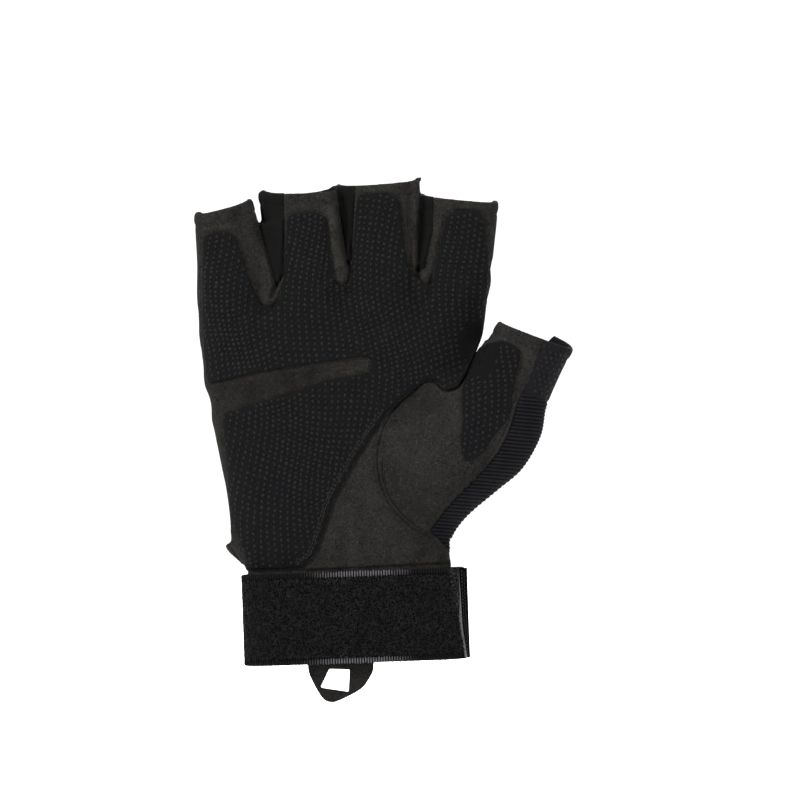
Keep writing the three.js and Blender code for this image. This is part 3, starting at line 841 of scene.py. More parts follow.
def line_distance(points, x, z, closed=False):
    """The distance to a line through the points."""
    points = np.asarray(points, float)
    ends = np.roll(points, -1, axis=0) if closed else points[1:]
    best = np.full(x.shape, np.inf)
    for (ax, az), (bx, bz) in zip(points, ends):
        ex, ez = bx - ax, bz - az
        share = np.clip(((x - ax) * ex + (z - az) * ez) / max(ex * ex + ez * ez, 1e-9), 0, 1)
        best = np.minimum(best, (x - ax - share * ex) ** 2 + (z - az - share * ez) ** 2)
    return np.sqrt(best).astype(np.float32)


def outline_distance(outline, x, z):
    """The signed distance to a closed outline, negative inside it."""
    outline = np.asarray(outline, float)
    inside = np.zeros(x.shape, bool)
    for (ax, az), (bx, bz) in zip(outline, np.roll(outline, -1, axis=0)):
        if az != bz:
            inside ^= ((az > z) != (bz > z)) & (x < ax + (z - az) / (bz - az) * (bx - ax))
    return np.where(inside, -1, 1).astype(np.float32) * line_distance(outline, x, z, closed=True)


# The glove's form.


def tube_sections(rows, grid):
    """For each (x, z), the section of the tube that passes there."""
    fine = named(SECTION, smoothed(rows, 16).T)
    along_x = fine["right_x"] - fine["left_x"]
    along_z = fine["right_z"] - fine["left_z"]
    length = np.hypot(along_x, along_z)
    ux, uz = along_x / length, along_z / length
    above = np.empty((len(ux), *grid.x.shape), np.float32)
    for k in range(len(ux)):
        above[k] = ux[k] * (grid.z - fine["left_z"][k]) - uz[k] * (grid.x - fine["left_x"][k])
    under = np.clip((above >= 0).sum(axis=0) - 1, 0, len(ux) - 2)
    near = np.take_along_axis(above, under[None], 0)[0]
    far = np.take_along_axis(above, under[None] + 1, 0)[0]
    share = np.clip(near / np.maximum(near - far, 1e-6), 0, 1)

    def here(column):
        return (column[under] * (1 - share) + column[under + 1] * share).astype(np.float32)

    section = {key: here(fine[key]) for key in SECTION[4:]}
    middle_x = here((fine["left_x"] + fine["right_x"]) / 2)
    middle_z = here((fine["left_z"] + fine["right_z"]) / 2)
    section["across"] = (grid.x - middle_x) * here(ux) + (grid.z - middle_z) * here(uz)
    section["half"] = here(length / 2)
    section["foot"] = -above[0]
    section["top"] = above[-1]
    return section


def tube_distance(section, grid):
    """The signed distance to the tube's side, and how deep each point lies from front to back."""
    part = {key: lifted(value) for key, value in section.items()}
    depth = (part["back"] - part["front"]) / 2
    deep = (grid.y - (part["front"] + part["back"]) / 2) / depth
    wide = (part["across"] + part["shift"] * deep) / part["half"]
    form = (np.abs(wide) ** part["square"] + np.abs(deep) ** part["square"]) ** (1 / part["square"]) - 1
    slope = np.sqrt(sum(g * g for g in np.gradient(form, grid.step)))
    box = np.maximum((np.abs(wide) - 1) * part["half"], (np.abs(deep) - 1) * depth)
    return np.maximum(form / np.maximum(slope, 0.02), box), deep


def capped(side, beyond):
    """The distance to a tube that ends, from the distances to its side and past its end."""
    return np.minimum(np.maximum(side, beyond), 0) + np.hypot(np.maximum(side, 0), np.maximum(beyond, 0))


def web(grid, crotch):
    """The cloth that closes the valley between two fingers: deeper towards its top and its left."""
    outline = crotch["outline"]
    foot_x, foot_z = outline[0]
    foot = [(foot_x - WEB["half"], WEB["foot_z"]), (foot_x + WEB["half"], WEB["foot_z"])]
    seen = outline_distance([*foot, *outline[1:]], grid.x, grid.z) - WEB["grown"]
    rise = np.clip((grid.z - foot_z + 4) / WEB["rise"], 0, 1)
    middle = np.interp(grid.z, [foot_z, ABOVE], [foot_x, (outline[-1][0] + outline[-2][0]) / 2])
    slant = WEB["slant"] * np.clip((middle - grid.x) / 4, -1, 1) * rise
    front = WEB["foot_y"] + rise * (WEB["front"] - WEB["foot_y"]) + slant
    sides = np.maximum(seen, grid.z - crotch["top"])
    return common(lifted(sides), lifted(front) - grid.y, grid.y - WEB["back"])


class Form:
    """The glove's outer form on a grid.

    distance is the distance to it, webs how much of that the cloth between the fingers adds, and
    end how far past an open end a point is.
    """

    def __init__(self, grid):
        self.grid = grid
        self.end = np.full(grid.shape, -FAR, np.float32)
        self.nearest = np.full(grid.x.shape, 6.0, np.float32)
        section = tube_sections(PALM, grid)
        palm, _ = tube_distance(section, grid)
        palm = smooth_max(palm, lifted(section["top"]) + PALM_ROUNDING / 4, PALM_ROUNDING)
        fingers = np.full(grid.shape, FAR, np.float32)
        for rows in FINGERS:
            fingers = smooth_min(fingers, self.open_tube(rows), BLEND_FINGERS)
        bare = smooth_min(palm, fingers, BLEND_PALM)
        thumb = self.open_tube(THUMB, THUMB_BACK_RIM)
        bare = smooth_min(bare, thumb, BLEND_THUMB)
        self.distance = bare
        for crotch in CROTCHES.values():
            self.distance = smooth_min(self.distance, web(grid, crotch), BLEND_WEB)
        self.webs = self.distance - bare
        self.end = np.maximum(self.end, lifted(section["foot"]))

    def open_tube(self, rows, back_rim=None):
        """A tube closed at its foot, on the whole grid; its open end is kept apart."""
        table = np.array(rows)
        low_x, high_x = table[:, 0].min() - 14, table[:, 2].max() + 14
        low_z = min(table[:, 1].min(), table[:, 3].min()) - 14
        high_z = max(table[:, 1].max(), table[:, 3].max()) + 14
        part, spans = self.grid.window(low_x, high_x, low_z, high_z)
        section = tube_sections(rows, part)
        side, deep = tube_distance(section, part)
        back_dip = section["back_dip"]
        if back_rim:
            back_dip = np.interp(section["across"] / section["half"], *zip(*back_rim))
        dip = np.where(deep < 0, lifted(section["front_dip"]), lifted(back_dip))
        past = lifted(section["top"]) + dip * np.minimum(np.abs(deep), 1.2)
        beside = np.abs(section["across"]) - section["half"]
        flat = (spans[0], spans[2])
        closer = (beside < self.nearest[flat]) & (section["foot"] < 0)
        self.nearest[flat] = np.where(closer, beside, self.nearest[flat])
        self.end[spans] = np.where(lifted(closer), past, self.end[spans])
        whole = np.full(self.grid.shape, FAR, np.float32)
        whole[spans] = capped(side, lifted(section["foot"]))
        return whole


def bell(distance, width):
    """One at no distance, falling softly to nothing."""
    return np.exp(-((distance / width) ** 2))


def sunk_at(seam, away):
    depth, width = SEAMS[seam]
    return depth * bell(away, width)


def front_only(grid, edge, reach=2.0):
    """One in front of the edge, fading to nothing behind it."""
    return np.clip((edge - grid.y) / reach + 0.5, 0, 1)


THUMB_OUTLINE = np.vstack([smoothed(THUMB_SEAM), smoothed(THUMB_SIDE)])
SIDE_FRONT = np.vstack([smoothed(THUMB_SIDE), PAST_THUMB])
SIDE_BACK = np.vstack([smoothed(THUMB_BACK_SEAM), PAST_THUMB[1::-1]])


def lobe_outline(top_z, left_top, right_top, left_base, right_base, base_z, arc):
    half = (right_top - left_top) / 2
    angles = np.linspace(0, PI, 13)
    arc_x = left_top + half + half * np.cos(angles)
    arc_z = top_z - arc + arc * np.sin(angles) ** 0.7
    return np.vstack([[(left_base, base_z), (right_base, base_z)], np.stack([arc_x, arc_z], axis=1)])


def grip_zone(x, z):
    """The signed distance to the edge of the palm's grip fabric."""
    zone = outline_distance(GRIP_FIELD, x, z)
    for row in GRIP_LOBES:
        zone = smooth_min(zone, outline_distance(lobe_outline(*row), x, z), 1.0)
    zone = smooth_max(zone, -outline_distance(BARE_BAND, x, z), 0.8)
    return np.maximum(zone, 0.3 - outline_distance(THUMB_OUTLINE, x, z))


def thumb_grip_zone(x, z):
    return outline_distance(smoothed([*THUMB_GRIP, THUMB_GRIP[0]])[:-1], x, z)


def thumb_top_zone(x, z):
    return np.maximum(outline_distance(SIDE_FRONT, x, z), 0.4 - outline_distance(RIB_ZONE, x, z))


def zones(grid):
    """The signed distances to the edges of the sewn panels, each negative inside."""
    x, z, y = grid.x, grid.z, grid.y
    side_front = np.maximum(lifted(outline_distance(SIDE_FRONT, x, z)), y)
    side_back = np.maximum(lifted(outline_distance(SIDE_BACK, x, z)), THUMB_SEAM_Y - y)
    return {
        "thumb_front": np.maximum(lifted(outline_distance(THUMB_OUTLINE, x, z)), y - THUMB_SEAM_Y),
        "thumb_side": np.minimum(side_front, side_back),
        "walls": [lifted(outline_distance(crotch["outline"], x, z)) for crotch in CROTCHES.values()],
        "ribs": lifted(outline_distance(RIB_ZONE, x, z)),
    }


def pressed_seams(form):
    """How far the seams, hems and folds sink into the form."""
    grid = form.grid
    x, z, y = grid.x, grid.z, grid.y
    in_front = front_only(grid, THUMB_SEAM_FRONT_Y)
    outline = outline_distance(THUMB_OUTLINE, x, z)
    seam = sunk_at("thumb", outline) + sunk_at("topstitch", outline + TOPSTITCH)
    seam += sunk_at("thumb_roll", outline + TOPSTITCH / 2)
    seam *= 1 - 0.5 * np.clip((z - 90) / 5, 0, 1)
    back_seam = lifted(sunk_at("thumb_back", line_distance(smoothed(THUMB_BACK_SEAM), x, z)))
    sunk = lifted(seam) * in_front + back_seam * (1 - in_front)
    sunk += lifted(sunk_at("ribs", np.where(x > RIB_SEAM_FROM_X, line_distance(RIB_TOP, x, z), FAR)))
    sunk += sunk_at("side", y - SIDE_SEAM_Y)
    for crotch in CROTCHES.values():
        sunk += lifted(sunk_at("walls", line_distance(crotch["outline"], x, z)))
    hem = sunk_at("hem", form.end + HEM) + sunk_at("hem_roll", form.end + HEM / 2)
    sunk += hem * lifted(z > HEMS_FROM_Z)
    palm_side = front_only(grid, -2.0, 6.0)
    for from_x, from_z, to_x, to_z, depth, width in FOLDS:
        away = line_distance([(from_x, from_z), (to_x, to_z)], x, z)
        press = bell(away, width) - 0.45 * bell(away - 2.1 * width, width)
        sunk += lifted(depth * press) * palm_side
    return sunk


def wrinkles(grid):
    """Soft unevenness of cloth stretched over a form, with gathers above the strap."""
    x, z = grid.x, grid.z
    soft = 0.45 * soft_noise(grid, 17, 3) + 0.16 * soft_noise(grid, 7, 4)
    gather = np.sin(2 * PI * (x / 9.5 + 0.12 * np.sin(z / 5.0))) * np.clip((52 - z) / 14, 0, 1)
    return soft + lifted(0.28 * gather.astype(np.float32))


def left_tuck(grid):
    """The doubled seam that stands out where the cloth tucks under the strap."""
    window = np.clip((43.5 - grid.z) / 3, 0, 1) * np.clip((grid.z - 34) / 2, 0, 1) * (grid.x < 0)
    lip = bell(grid.y - SIDE_SEAM_Y - 1.3, 0.7) + bell(grid.y - SIDE_SEAM_Y + 1.3, 0.7)
    return lifted(0.5 * window.astype(np.float32)) * lip


def shell_of(form, distance):
    """A wall just inside the form, solid in the webs and cut at its open ends."""
    wall = np.maximum(distance, -(distance - form.webs + WALL))
    return smooth_max(wall, form.end, 0.7)


def front_map(field, grid, level):
    """The y of the form's front at each (x, z), or none where the column misses the form."""
    below = field < level
    first = below.argmax(axis=1)
    hit = below.any(axis=1) & (first > 0)
    rows, columns = np.nonzero(hit)
    at = first[rows, columns]
    near, far = field[rows, at - 1, columns], field[rows, at, columns]
    result = np.full(grid.x.shape, np.nan)
    share = (near - level) / (near - far)
    result[rows, columns] = grid.axes[1][at - 1] + share * grid.step
    return result


def front_points(heights, grid, x, z):
    """Points on the form's front, one for each (x, z) that meets it."""
    i = np.clip(np.rint((x - grid.low[0]) / grid.step).astype(int), 0, grid.shape[0] - 1)
    k = np.clip(np.rint((z - grid.low[2]) / grid.step).astype(int), 0, grid.shape[2] - 1)
    points = np.stack([x, heights[i, k], z], axis=1)
    return points[~np.isnan(points[:, 1])]


def resampled(points, pitch):
    """Points at equal steps along a line in space."""
    length = np.concatenate([[0], np.cumsum(np.linalg.norm(np.diff(points, axis=0), axis=1))])
    steps = np.arange(0, length[-1], pitch)
    return np.stack([np.interp(steps, length, points[:, i]) for i in range(3)], axis=1)


def on_walls(points):
    """Whether each point lies on one of the dark walls between the fingers, on the palm side."""
    away = [outline_distance(c["outline"], points[:, 0], points[:, 2]) for c in CROTCHES.values()]
    return (points[:, 1] < SIDE_SEAM_Y) & (np.min(away, axis=0) < 0.4)


class Stitcher:
    """Rows of stitches laid on a form, gathered into one piece."""

    def __init__(self, form, field):
        self.field = field
        self.end = form.end
        self.grid = form.grid
        self.heights = front_map(field, form.grid, 0.3)
        self.parts = []

    def front_row(self, line, level, **stitch):
        """Stitches along a line of (x, z) on the palm side."""
        x, z = np.asarray(line, float).T
        dense = resampled(np.stack([x, 0 * x, z], axis=1), 0.3)
        self.row(front_points(self.heights, self.grid, dense[:, 0], dense[:, 2]), level, **stitch)

    def row(self, points, level, pitch, length, thick=0.42):
        points = resampled(self.grid.settle(self.field, points, level), pitch)
        points = points[(self.grid.at(self.end, points) < -1.2) & ~on_walls(points)]
        axes = frames_along(np.gradient(points, axis=0), self.grid.normals(self.field, points))
        scales = np.tile((length, thick, 0.8 * thick), (len(points), 1))
        self.parts.append(copies(*capsule(), points, axes, scales))

    def piece(self, name, material, slot):
        make_piece(name, joined(self.parts), material)


def joined(parts):
    """Several meshes with faces of one kind as one."""
    faces = []
    count = 0
    for vertices, part in parts:
        faces.append(np.asarray(part) + count)
        count += len(vertices)
    return np.vstack([vertices for vertices, _ in parts]), np.vstack(faces)


# The pieces.


def panel(form, distance, zone, under=True):
    """The shell within a zone, with an allowance that runs on hidden under its neighbours."""
    wall = shell_of(form, distance)
    main = common(wall, zone + SEAM_GAP / 2)
    if not under:
        return main
    return np.minimum(main, common(wall, distance + ALLOWANCE_DEPTH, zone - ALLOWANCE))


def build_shell(form, cloth, distance):
    """The sewn panels, each with its node of the frame."""
    y = form.grid.y
    zone = zones(form.grid)
    thumb, side = zone["thumb_front"], zone["thumb_side"]
    body = common(-np.minimum.reduce(zone["walls"]), -side)
    rows = [
        ("palm_suede", common(body, y - SIDE_SEAM_Y, -thumb), "suede", "suede", "palm_panel"),
        ("back_cloth", common(body, SIDE_SEAM_Y - y), "back_knit", "back_knit", "back_panel"),
        ("thumb_suede", common(thumb, -side), "thumb_suede", "suede", "thumb_panel"),
        ("thumb_top_knit", common(side, -zone["ribs"]), "thumb_top", "grip_knit", "thumb_top_panel"),
    ]
    for name, wall in zip(CROTCHES, zone["walls"]):
        rows.append(("gusset_" + name, wall, "gusset", "back_knit", "side_wall_" + name))
    for name, region, stuff, slot, node in rows:
        field = panel(form, distance, region, under=name != "palm_suede")
        net_piece(name, field, form.grid, cloth[stuff], [node])


def build_grip(form, cloth, distance):
    """The grip fabric, a layer on the palm and one on the thumb."""
    grid = form.grid
    sheet = np.abs(distance - (GRIP_FROM + GRIP_TO) / 2) - (GRIP_TO - GRIP_FROM) / 2
    layer = np.maximum(sheet, grid.y - GRIP_EDGE_Y)
    for name, zone, node in (
        ("grip_cloth", grip_zone(grid.x, grid.z), "grip_fabric"),
        ("thumb_grip_cloth", thumb_grip_zone(grid.x, grid.z), "thumb_grip"),
    ):
        field = smooth_max(layer, lifted(zone.astype(np.float32)), 0.9)
        net_piece(name, np.maximum(field, form.end + 1.0), grid, cloth["grip_knit"], [node])


def build_ribs(cloth):
    """The ribbed stretch knit, on a finer grid, with its ribs as real ridges."""
    grid = box_grid((24, -28, 38), (76, 15, 106), FINE)
    form = Form(grid)
    zone = zones(grid)
    ridge = np.abs(np.sin(PI * (grid.z + RIB["slope"] * grid.x) / RIB["pitch"]))
    ribbed = lifted((RIB["height"] * (1 - ridge) ** 1.5).astype(np.float32)) - 0.12
    distance = form.distance + pressed_seams(form) + ribbed
    field = panel(form, distance, common(zone["thumb_side"], zone["ribs"]))
    net_piece("thumb_ribs", field, grid, cloth["rib_knit"], ["thumb_rib_panel"])


def dot_lattice(low_x, high_x, low_z, high_z, across=DOT["across"], up=DOT["up"]):
    """Columns of places, every other one half a step higher, with a slow wave in them."""
    columns = np.arange(low_x, high_x, across)
    rows = np.arange(low_z, high_z, up)
    u, v = np.meshgrid(columns, rows, indexing="ij")
    v = v + (np.arange(len(columns)) % 2)[:, None] * up / 2
    x = u + 2.2 * np.sin(v / 12.0) + 0.9 * np.sin(u / 9.0 + v / 15.0)
    z = v + 4.6 * np.sin(u / 15.0 + 0.6) + 1.4 * np.sin(u / 7.0 + v / 13.0)
    random = np.random.default_rng(9)
    return [places.ravel() + random.normal(0, DOT["jitter"], places.size) for places in (x, z)]


def evened(points, gap):
    """Points without those that crowd an earlier one."""
    keep = []
    for i, point in enumerate(points):
        near = points[keep[-160:]] if keep else points[:0]
        if not len(near) or (np.linalg.norm(near - point, axis=1) > gap).all():
            keep.append(i)
    return points[keep]


def unworn(points, x, z, wide, high, fade):
    """One outside a worn oval, falling almost to nothing in its middle."""
    away = np.hypot((points[:, 0] - x) / wide, (points[:, 2] - z) / high)
    return np.clip((away - 0.35) / fade, 0.05, 1)


def place_dots(form, field, zone, lattice, level, wear_and_painted_light):
    """Raised dots on the cloth inside a zone, flatter and fewer in the worn oval."""
    grid = form.grid
    x, z = lattice
    inside = zone(x, z) < -DOT["inset"]
    points = front_points(front_map(field, grid, level), grid, x[inside], z[inside])
    points = grid.settle(field, points, level)
    in_front = points[:, 1] < GRIP_EDGE_Y - DOT["from_side"]
    points = points[in_front & (grid.at(form.end, points) < -DOT["from_end"])]
    points = evened(points[np.lexsort((points[:, 0], np.rint(points[:, 2] / 2)))], DOT["gap"])
    random = np.random.default_rng(7)
    strength = random.uniform(0.4, 1.25, len(points)) * (unworn(points, *wear_and_painted_light) if wear_and_painted_light else 0.55)
    kept = strength > DOT["weakest"]
    points, strength = points[kept], strength[kept]
    lean = random.normal(0.5, 0.7, len(points))
    tangents = np.stack([np.sin(lean), 0 * lean, np.cos(lean)], axis=1)
    long = random.uniform(1.15, 1.6, len(points))
    wide = random.uniform(1.0, 1.25, len(points))
    scales = np.stack([long, wide, DOT["height"] * strength], axis=1)
    return copies(*dome(), points, frames_along(tangents, grid.normals(field, points)), scales)


def build_dots(form, cloth, distance):
    for name, zone, lattice, level, wear_and_painted_light in (
        ("grip_dots", grip_zone, dot_lattice(-62, 56, 30, 172), GRIP_TO, PALM_WORN),
        ("thumb_grip_dots", thumb_grip_zone, dot_lattice(34, 62, 68, 118), GRIP_TO, THUMB_WORN),
        ("thumb_top_dots", thumb_top_zone, dot_lattice(54, 82, 84, 124, 1.9, 1.7), 0.0, None),
    ):
        make_piece(name, place_dots(form, distance, zone, lattice, level, wear_and_painted_light), cloth["dots"])


def build_stitches(form, cloth, distance, grip_level):
    """The rows of stitches along the thumb's seams, round the hems and along the grip fabric's edge."""
    sewn = Stitcher(form, distance)
    arc = smoothed(THUMB_SEAM[3:], 6)
    outward = arc - THUMB_MIDDLE
    outward /= np.linalg.norm(outward, axis=1, keepdims=True)
    sewn.front_row(arc + TOPSTITCH * outward, 0.02, pitch=2.1, length=1.5)
    sewn.front_row(smoothed(THUMB_SIDE, 6) - (1.4, -0.6), 0.02, pitch=2.1, length=1.5)
    inner = Stitcher(form, distance)
    inner.front_row((arc - 1.3 * outward)[42:], -0.05, pitch=1.25, length=1.2, thick=0.32)
    inner.piece("inner_seam_line", cloth["dark_thread"], "suede")
    for rows in (*FINGERS, THUMB):
        sewn.row(hem_ring(named(SECTION, rows[-1])), 0.02, pitch=2.3, length=1.6, thick=0.36)
    sewn.piece("seam_stitches", cloth["thread"], "suede")
    edge = Stitcher(form, grip_level)
    heel = smoothed(HEEL_EDGE, 8)
    for line in (heel, heel + (-0.75, 0.35)):
        edge.front_row(line, GRIP_TO, pitch=1.5, length=1.15, thick=0.4)
    edge.piece("edge_stitches", cloth["edge_thread"], "grip_knit")


def hem_ring(last):
    """Points round a tube, a hem's height below the open end that its last section tells."""
    left = np.array([last["left_x"], last["left_z"]])
    right = np.array([last["right_x"], last["right_z"]])
    width = np.linalg.norm(right - left)
    along = (right - left) / width
    middle = (left + right) / 2 - HEM * np.array([-along[1], along[0]])
    angles = np.linspace(0, 2 * PI, 220)
    deep = np.sin(angles)
    wide = np.cos(angles) * width / 2 - last["shift"] * deep
    y = (last["front"] + last["back"]) / 2 + deep * (last["back"] - last["front"]) / 2
    dip = np.where(deep < 0, last["front_dip"], last["back_dip"]) * np.abs(deep)
    return np.stack([middle[0] + along[0] * wide, y, middle[1] + along[1] * wide - dip], axis=1)


# The strap.


def strap_frame():
    """Where each stretch of the strap's face lies: distance along it from the middle of its front."""
    x_flat = STRAP["width"] / 2 - STRAP["corner"]
    y_flat = STRAP["depth"] / 2 - STRAP["corner"]
    turn = STRAP["corner"] * PI / 2
    stops = np.cumsum([0, x_flat, turn, 2 * y_flat, turn, x_flat])
    along = np.linspace(0, stops[-1], 1600)
    heading = np.interp(along, stops, [0, 0, PI / 2, PI / 2, PI, PI])
    step = np.diff(along)
    turned = (heading[1:] + heading[:-1]) / 2
    x = np.concatenate([[0], np.cumsum(np.cos(turned) * step)])
    y = np.concatenate([[0], np.cumsum(np.sin(turned) * step)]) - STRAP["depth"] / 2
    return along, x, y, heading


STRAP_FRAME = strap_frame()
STRAP_REACH = STRAP_FRAME[0][-1]


def strap_points(along, up, out):
    """Points on the strap from distances along its face, up from its middle line and out from it."""
    along, up, out = np.broadcast_arrays(along, up, out)
    table, x, y, heading = STRAP_FRAME
    side = np.sign(along)
    reach = np.abs(along)
    angle = np.interp(reach, table, heading)
    px = side * (np.interp(reach, table, x) + out * np.sin(angle))
    py = np.interp(reach, table, y) - out * np.cos(angle)
    tilt = math.radians(STRAP["tilt"])
    x = px * math.cos(tilt) - up * math.sin(tilt)
    z = px * math.sin(tilt) + up * math.cos(tilt) + STRAP["middle_z"]
    z = z - STRAP["sag"] * (py + STRAP["depth"] / 2)
    return np.stack([x, py, z], axis=-1)


def along_front(x):
    """The distance along the face of a place on its front or round its front corner."""
    flat = STRAP["width"] / 2 - STRAP["corner"]
    past = np.clip((abs(x) - flat) / STRAP["corner"], 0, 1)
    return math.copysign(min(abs(x), flat) + STRAP["corner"] * math.asin(past), x)


def sheet_faces(rows, columns, wrap_rows=False, wrap_columns=False):
    """The quads of a sheet of points, closed on itself where it wraps."""
    down = np.arange(rows - (not wrap_rows))
    along = np.arange(columns - (not wrap_columns))
    i, j = np.meshgrid(down, along, indexing="ij")
    next_i, next_j = (i + 1) % rows, (j + 1) % columns
    corners = [i * columns + j, i * columns + next_j, next_i * columns + next_j, next_i * columns + j]
    return np.stack(corners, axis=-1).reshape(-1, 4)


def closed_patch(along, up, outer, inner):
    """A closed plate on the strap between an outer and an inner height, over a grid of places."""
    rows, columns = along.shape
    front = strap_points(along, up, outer).reshape(-1, 3)
    back = strap_points(along, up, inner).reshape(-1, 3)
    faces = sheet_faces(rows, columns)
    count = rows * columns
    index = np.arange(count).reshape(rows, columns)
    rim = np.concatenate([index[0, :-1], index[:-1, -1], index[-1, :0:-1], index[:0:-1, 0]])
    after = np.roll(rim, -1)
    walls = np.stack([rim, rim + count, after + count, after], axis=1)
    return np.vstack([front, back]), np.vstack([faces, faces[:, ::-1] + count, walls])[:, ::-1]


def build_strap(cloth):
    """The band: a profile with rounded edges swept round, with a ridged selvedge along both edges."""
    half, thick, radius = STRAP["height"] / 2, STRAP["thick"], STRAP["edge"]
    angles = np.linspace(PI / 2, 0, 5)
    corner_up = half - radius + radius * np.sin(angles)
    corner_out = -radius + radius * np.cos(angles)
    face = np.linspace(half - radius, -(half - radius), 46)[1:-1]
    inner = np.linspace(-half + 0.4, half - 0.4, 8)
    ups = np.concatenate([corner_up, face, -corner_up[::-1], inner])
    outs = np.concatenate([corner_out, 0 * face, corner_out[::-1], 0 * inner - thick])
    a, up = np.meshgrid(np.linspace(-STRAP_REACH, STRAP_REACH, 560, endpoint=False), ups, indexing="ij")
    outside = np.broadcast_to(outs > -thick + 0.1, a.shape)
    edge = np.clip((np.abs(up) - (half - PILE["margin"])) / 0.5, 0, 1) * outside
    out = outs + edge * (0.18 * np.abs(np.sin(PI * a / SELVEDGE["pitch"])) - 0.1)
    binding = np.clip(BINDING["right"] - a, 0, 1) * np.clip(a - BINDING["left"], 0, 1) * outside
    out += binding * (0.14 * np.sin(2 * PI * up / 0.9) * np.sin(2 * PI * a / 1.3) + 0.1)
    shape = strap_points(a, up, out).reshape(-1, 3), sheet_faces(*a.shape, wrap_rows=True, wrap_columns=True)
    make_piece("strap_tape", shape, cloth["tape"], ["wrist_strap"])


def strap_rods(along, up, out, scales):
    """Stitches that point up the strap, laid on its face."""
    places = strap_points(along, up, out)
    upward = strap_points(along, up + 1, out) - places
    outward = strap_points(along, up, out + 1) - places
    return copies(*capsule(), places, frames_along(upward, outward), scales)


def build_selvedge(cloth):
    """Short ribs of yarn across the strap's two long edges, on its palm side."""
    random = np.random.default_rng(5)
    along = np.arange(along_front(SELVEDGE["left"]), along_front(SELVEDGE["right"]), SELVEDGE["pitch"])
    parts = []
    for side in (1, -1):
        up = side * (STRAP["height"] / 2 - 0.42 * SELVEDGE["long"]) + random.uniform(-0.15, 0.15, len(along))
        scales = np.tile((SELVEDGE["long"], SELVEDGE["wide"], SELVEDGE["high"]), (len(along), 1))
        scales[:, 0] *= random.uniform(0.8, 1.0, len(along))
        parts.append(strap_rods(along, up, 0.12, scales))
    make_piece("selvedge_ribs", joined(parts), cloth["selvedge"])


def pile_right(up):
    half = STRAP["height"] / 2 - PILE["margin"]
    top, bottom = along_front(PILE["right_top"]), along_front(PILE["right_bottom"])
    return bottom + (top - bottom) * (up + half) / (2 * half)


def build_pile(cloth):
    """The loop pile: an uneven bed with a thicket of small bent loops standing on it."""
    half = STRAP["height"] / 2 - PILE["margin"]
    left = along_front(PILE["left"])
    random = np.random.default_rng(11)
    up, t = np.meshgrid(np.linspace(-half, half, 56), np.linspace(0, 1, 160), indexing="ij")
    ragged = 0.35 * np.sin(t * 190) * (np.abs(up) / half) ** 12
    along = left + t * (pile_right(up) - left)
    bed = closed_patch(along, up + ragged, 0.75 + 0.22 * random.standard_normal(up.shape), 0.15)
    make_piece("pile_bed", bed, cloth["pile_bed"], ["strap_pile"])
    count = PILE["loops"]
    up = random.uniform(-half + 0.2, half - 0.2, count)
    along = left + random.uniform(0.003, 0.997, count) * (pile_right(up) - left)
    base = strap_points(along, up, 0.7)
    lean = strap_points(along, up, 1.7) - base + 0.55 * random.standard_normal((count, 3))
    spin = np.cross(lean, random.standard_normal((count, 3)))
    width = random.uniform(0.45, 0.95, count)
    scales = np.stack([width, width, random.uniform(0.5, 0.95, count)], axis=1)
    loops = copies(*small_loop(), base, frames_along(spin, lean), scales)
    make_piece("pile_loops", loops, cloth["pile_loops"], ["strap_pile"])


def small_loop():
    """A loop of yarn one unit wide and high, with both feet down."""
    segments, sides, thick = 3, 3, 0.15
    angles = np.linspace(-0.15 * PI, 1.15 * PI, segments + 1)
    line = np.stack([0.5 * np.cos(angles), 0.12 * np.sin(2 * angles), 0.5 + 0.5 * np.sin(angles)], axis=1)
    tangent = np.gradient(line, axis=0)
    tangent /= np.linalg.norm(tangent, axis=1, keepdims=True)
    side = np.tile((0.0, 1.0, 0.0), (len(line), 1))
    other = np.cross(tangent, side)
    turns = (np.arange(sides) * 2 * PI / sides)[None, :, None]
    rings = line[:, None] + thick * (np.cos(turns) * side[:, None] + np.sin(turns) * other[:, None])
    quads = sheet_faces(len(line), sides, wrap_columns=True)
    last = segments * sides
    ends = np.array([(0, 2, 1), (last, last + 1, last + 2)])
    return rings.reshape(-1, 3), np.vstack([quads[:, [0, 1, 2]], quads[:, [0, 2, 3]], ends])


def build_end_wrap(cloth):
    """The film over the strap's thumb end: a grainy wedge, a glossy sliver and a stitched fold."""
    half = STRAP["height"] / 2 - 0.3
    ups = np.linspace(-half, half, 60)
    up, share = np.meshgrid(ups, np.linspace(0, 1, 9), indexing="ij")
    low = (half - up) / (2 * half)
    start = pile_right(up) + 0.15
    fold = np.maximum(along_front(37.4) + 2.6 * low**3, start + 0.9 + 0.25 * np.sin(up / 2.1))
    wide = 0.3 + 1.1 * np.clip((low - 0.3) / 0.3, 0, 1) - 0.5 * np.clip((low - 0.6) / 0.4, 0, 1)
    sliver = np.maximum(fold - wide, start + 0.1)
    end = along_front(STRAP["width"] / 2 - 0.05) + 1.6
    for name, left, right, out, stuff in (
        ("end_film", start, sliver, 0.5 + 0.1 * np.sin(PI * share), "film"),
        ("end_sliver", sliver, fold, 0.55 + 0.3 * share * low + 0.1 * np.sin(up / 3.1), "gloss_film"),
        ("end_fold", fold, end, 0.4 + 0.6 * np.sin(PI * np.clip(share, 0.04, 0.96)) ** 0.5, "binding"),
    ):
        patch = closed_patch(left + share * (right - left), up, out, 0.1)
        make_piece(name, patch, cloth[stuff], ["strap_end_wrap"])
    parts = []
    for step_in, offset in ((0.7, 0.0), (2.1, 0.6)):
        heights = np.arange(-half + 0.9 + offset, half - 0.8, 1.25)
        along = np.interp(heights, ups, fold[:, 0]) + step_in
        parts.append(strap_rods(along, heights, 0.95, np.tile((0.8, 0.5, 0.5), (len(heights), 1))))
    make_piece("end_stitches", joined(parts), cloth["edge_thread"])


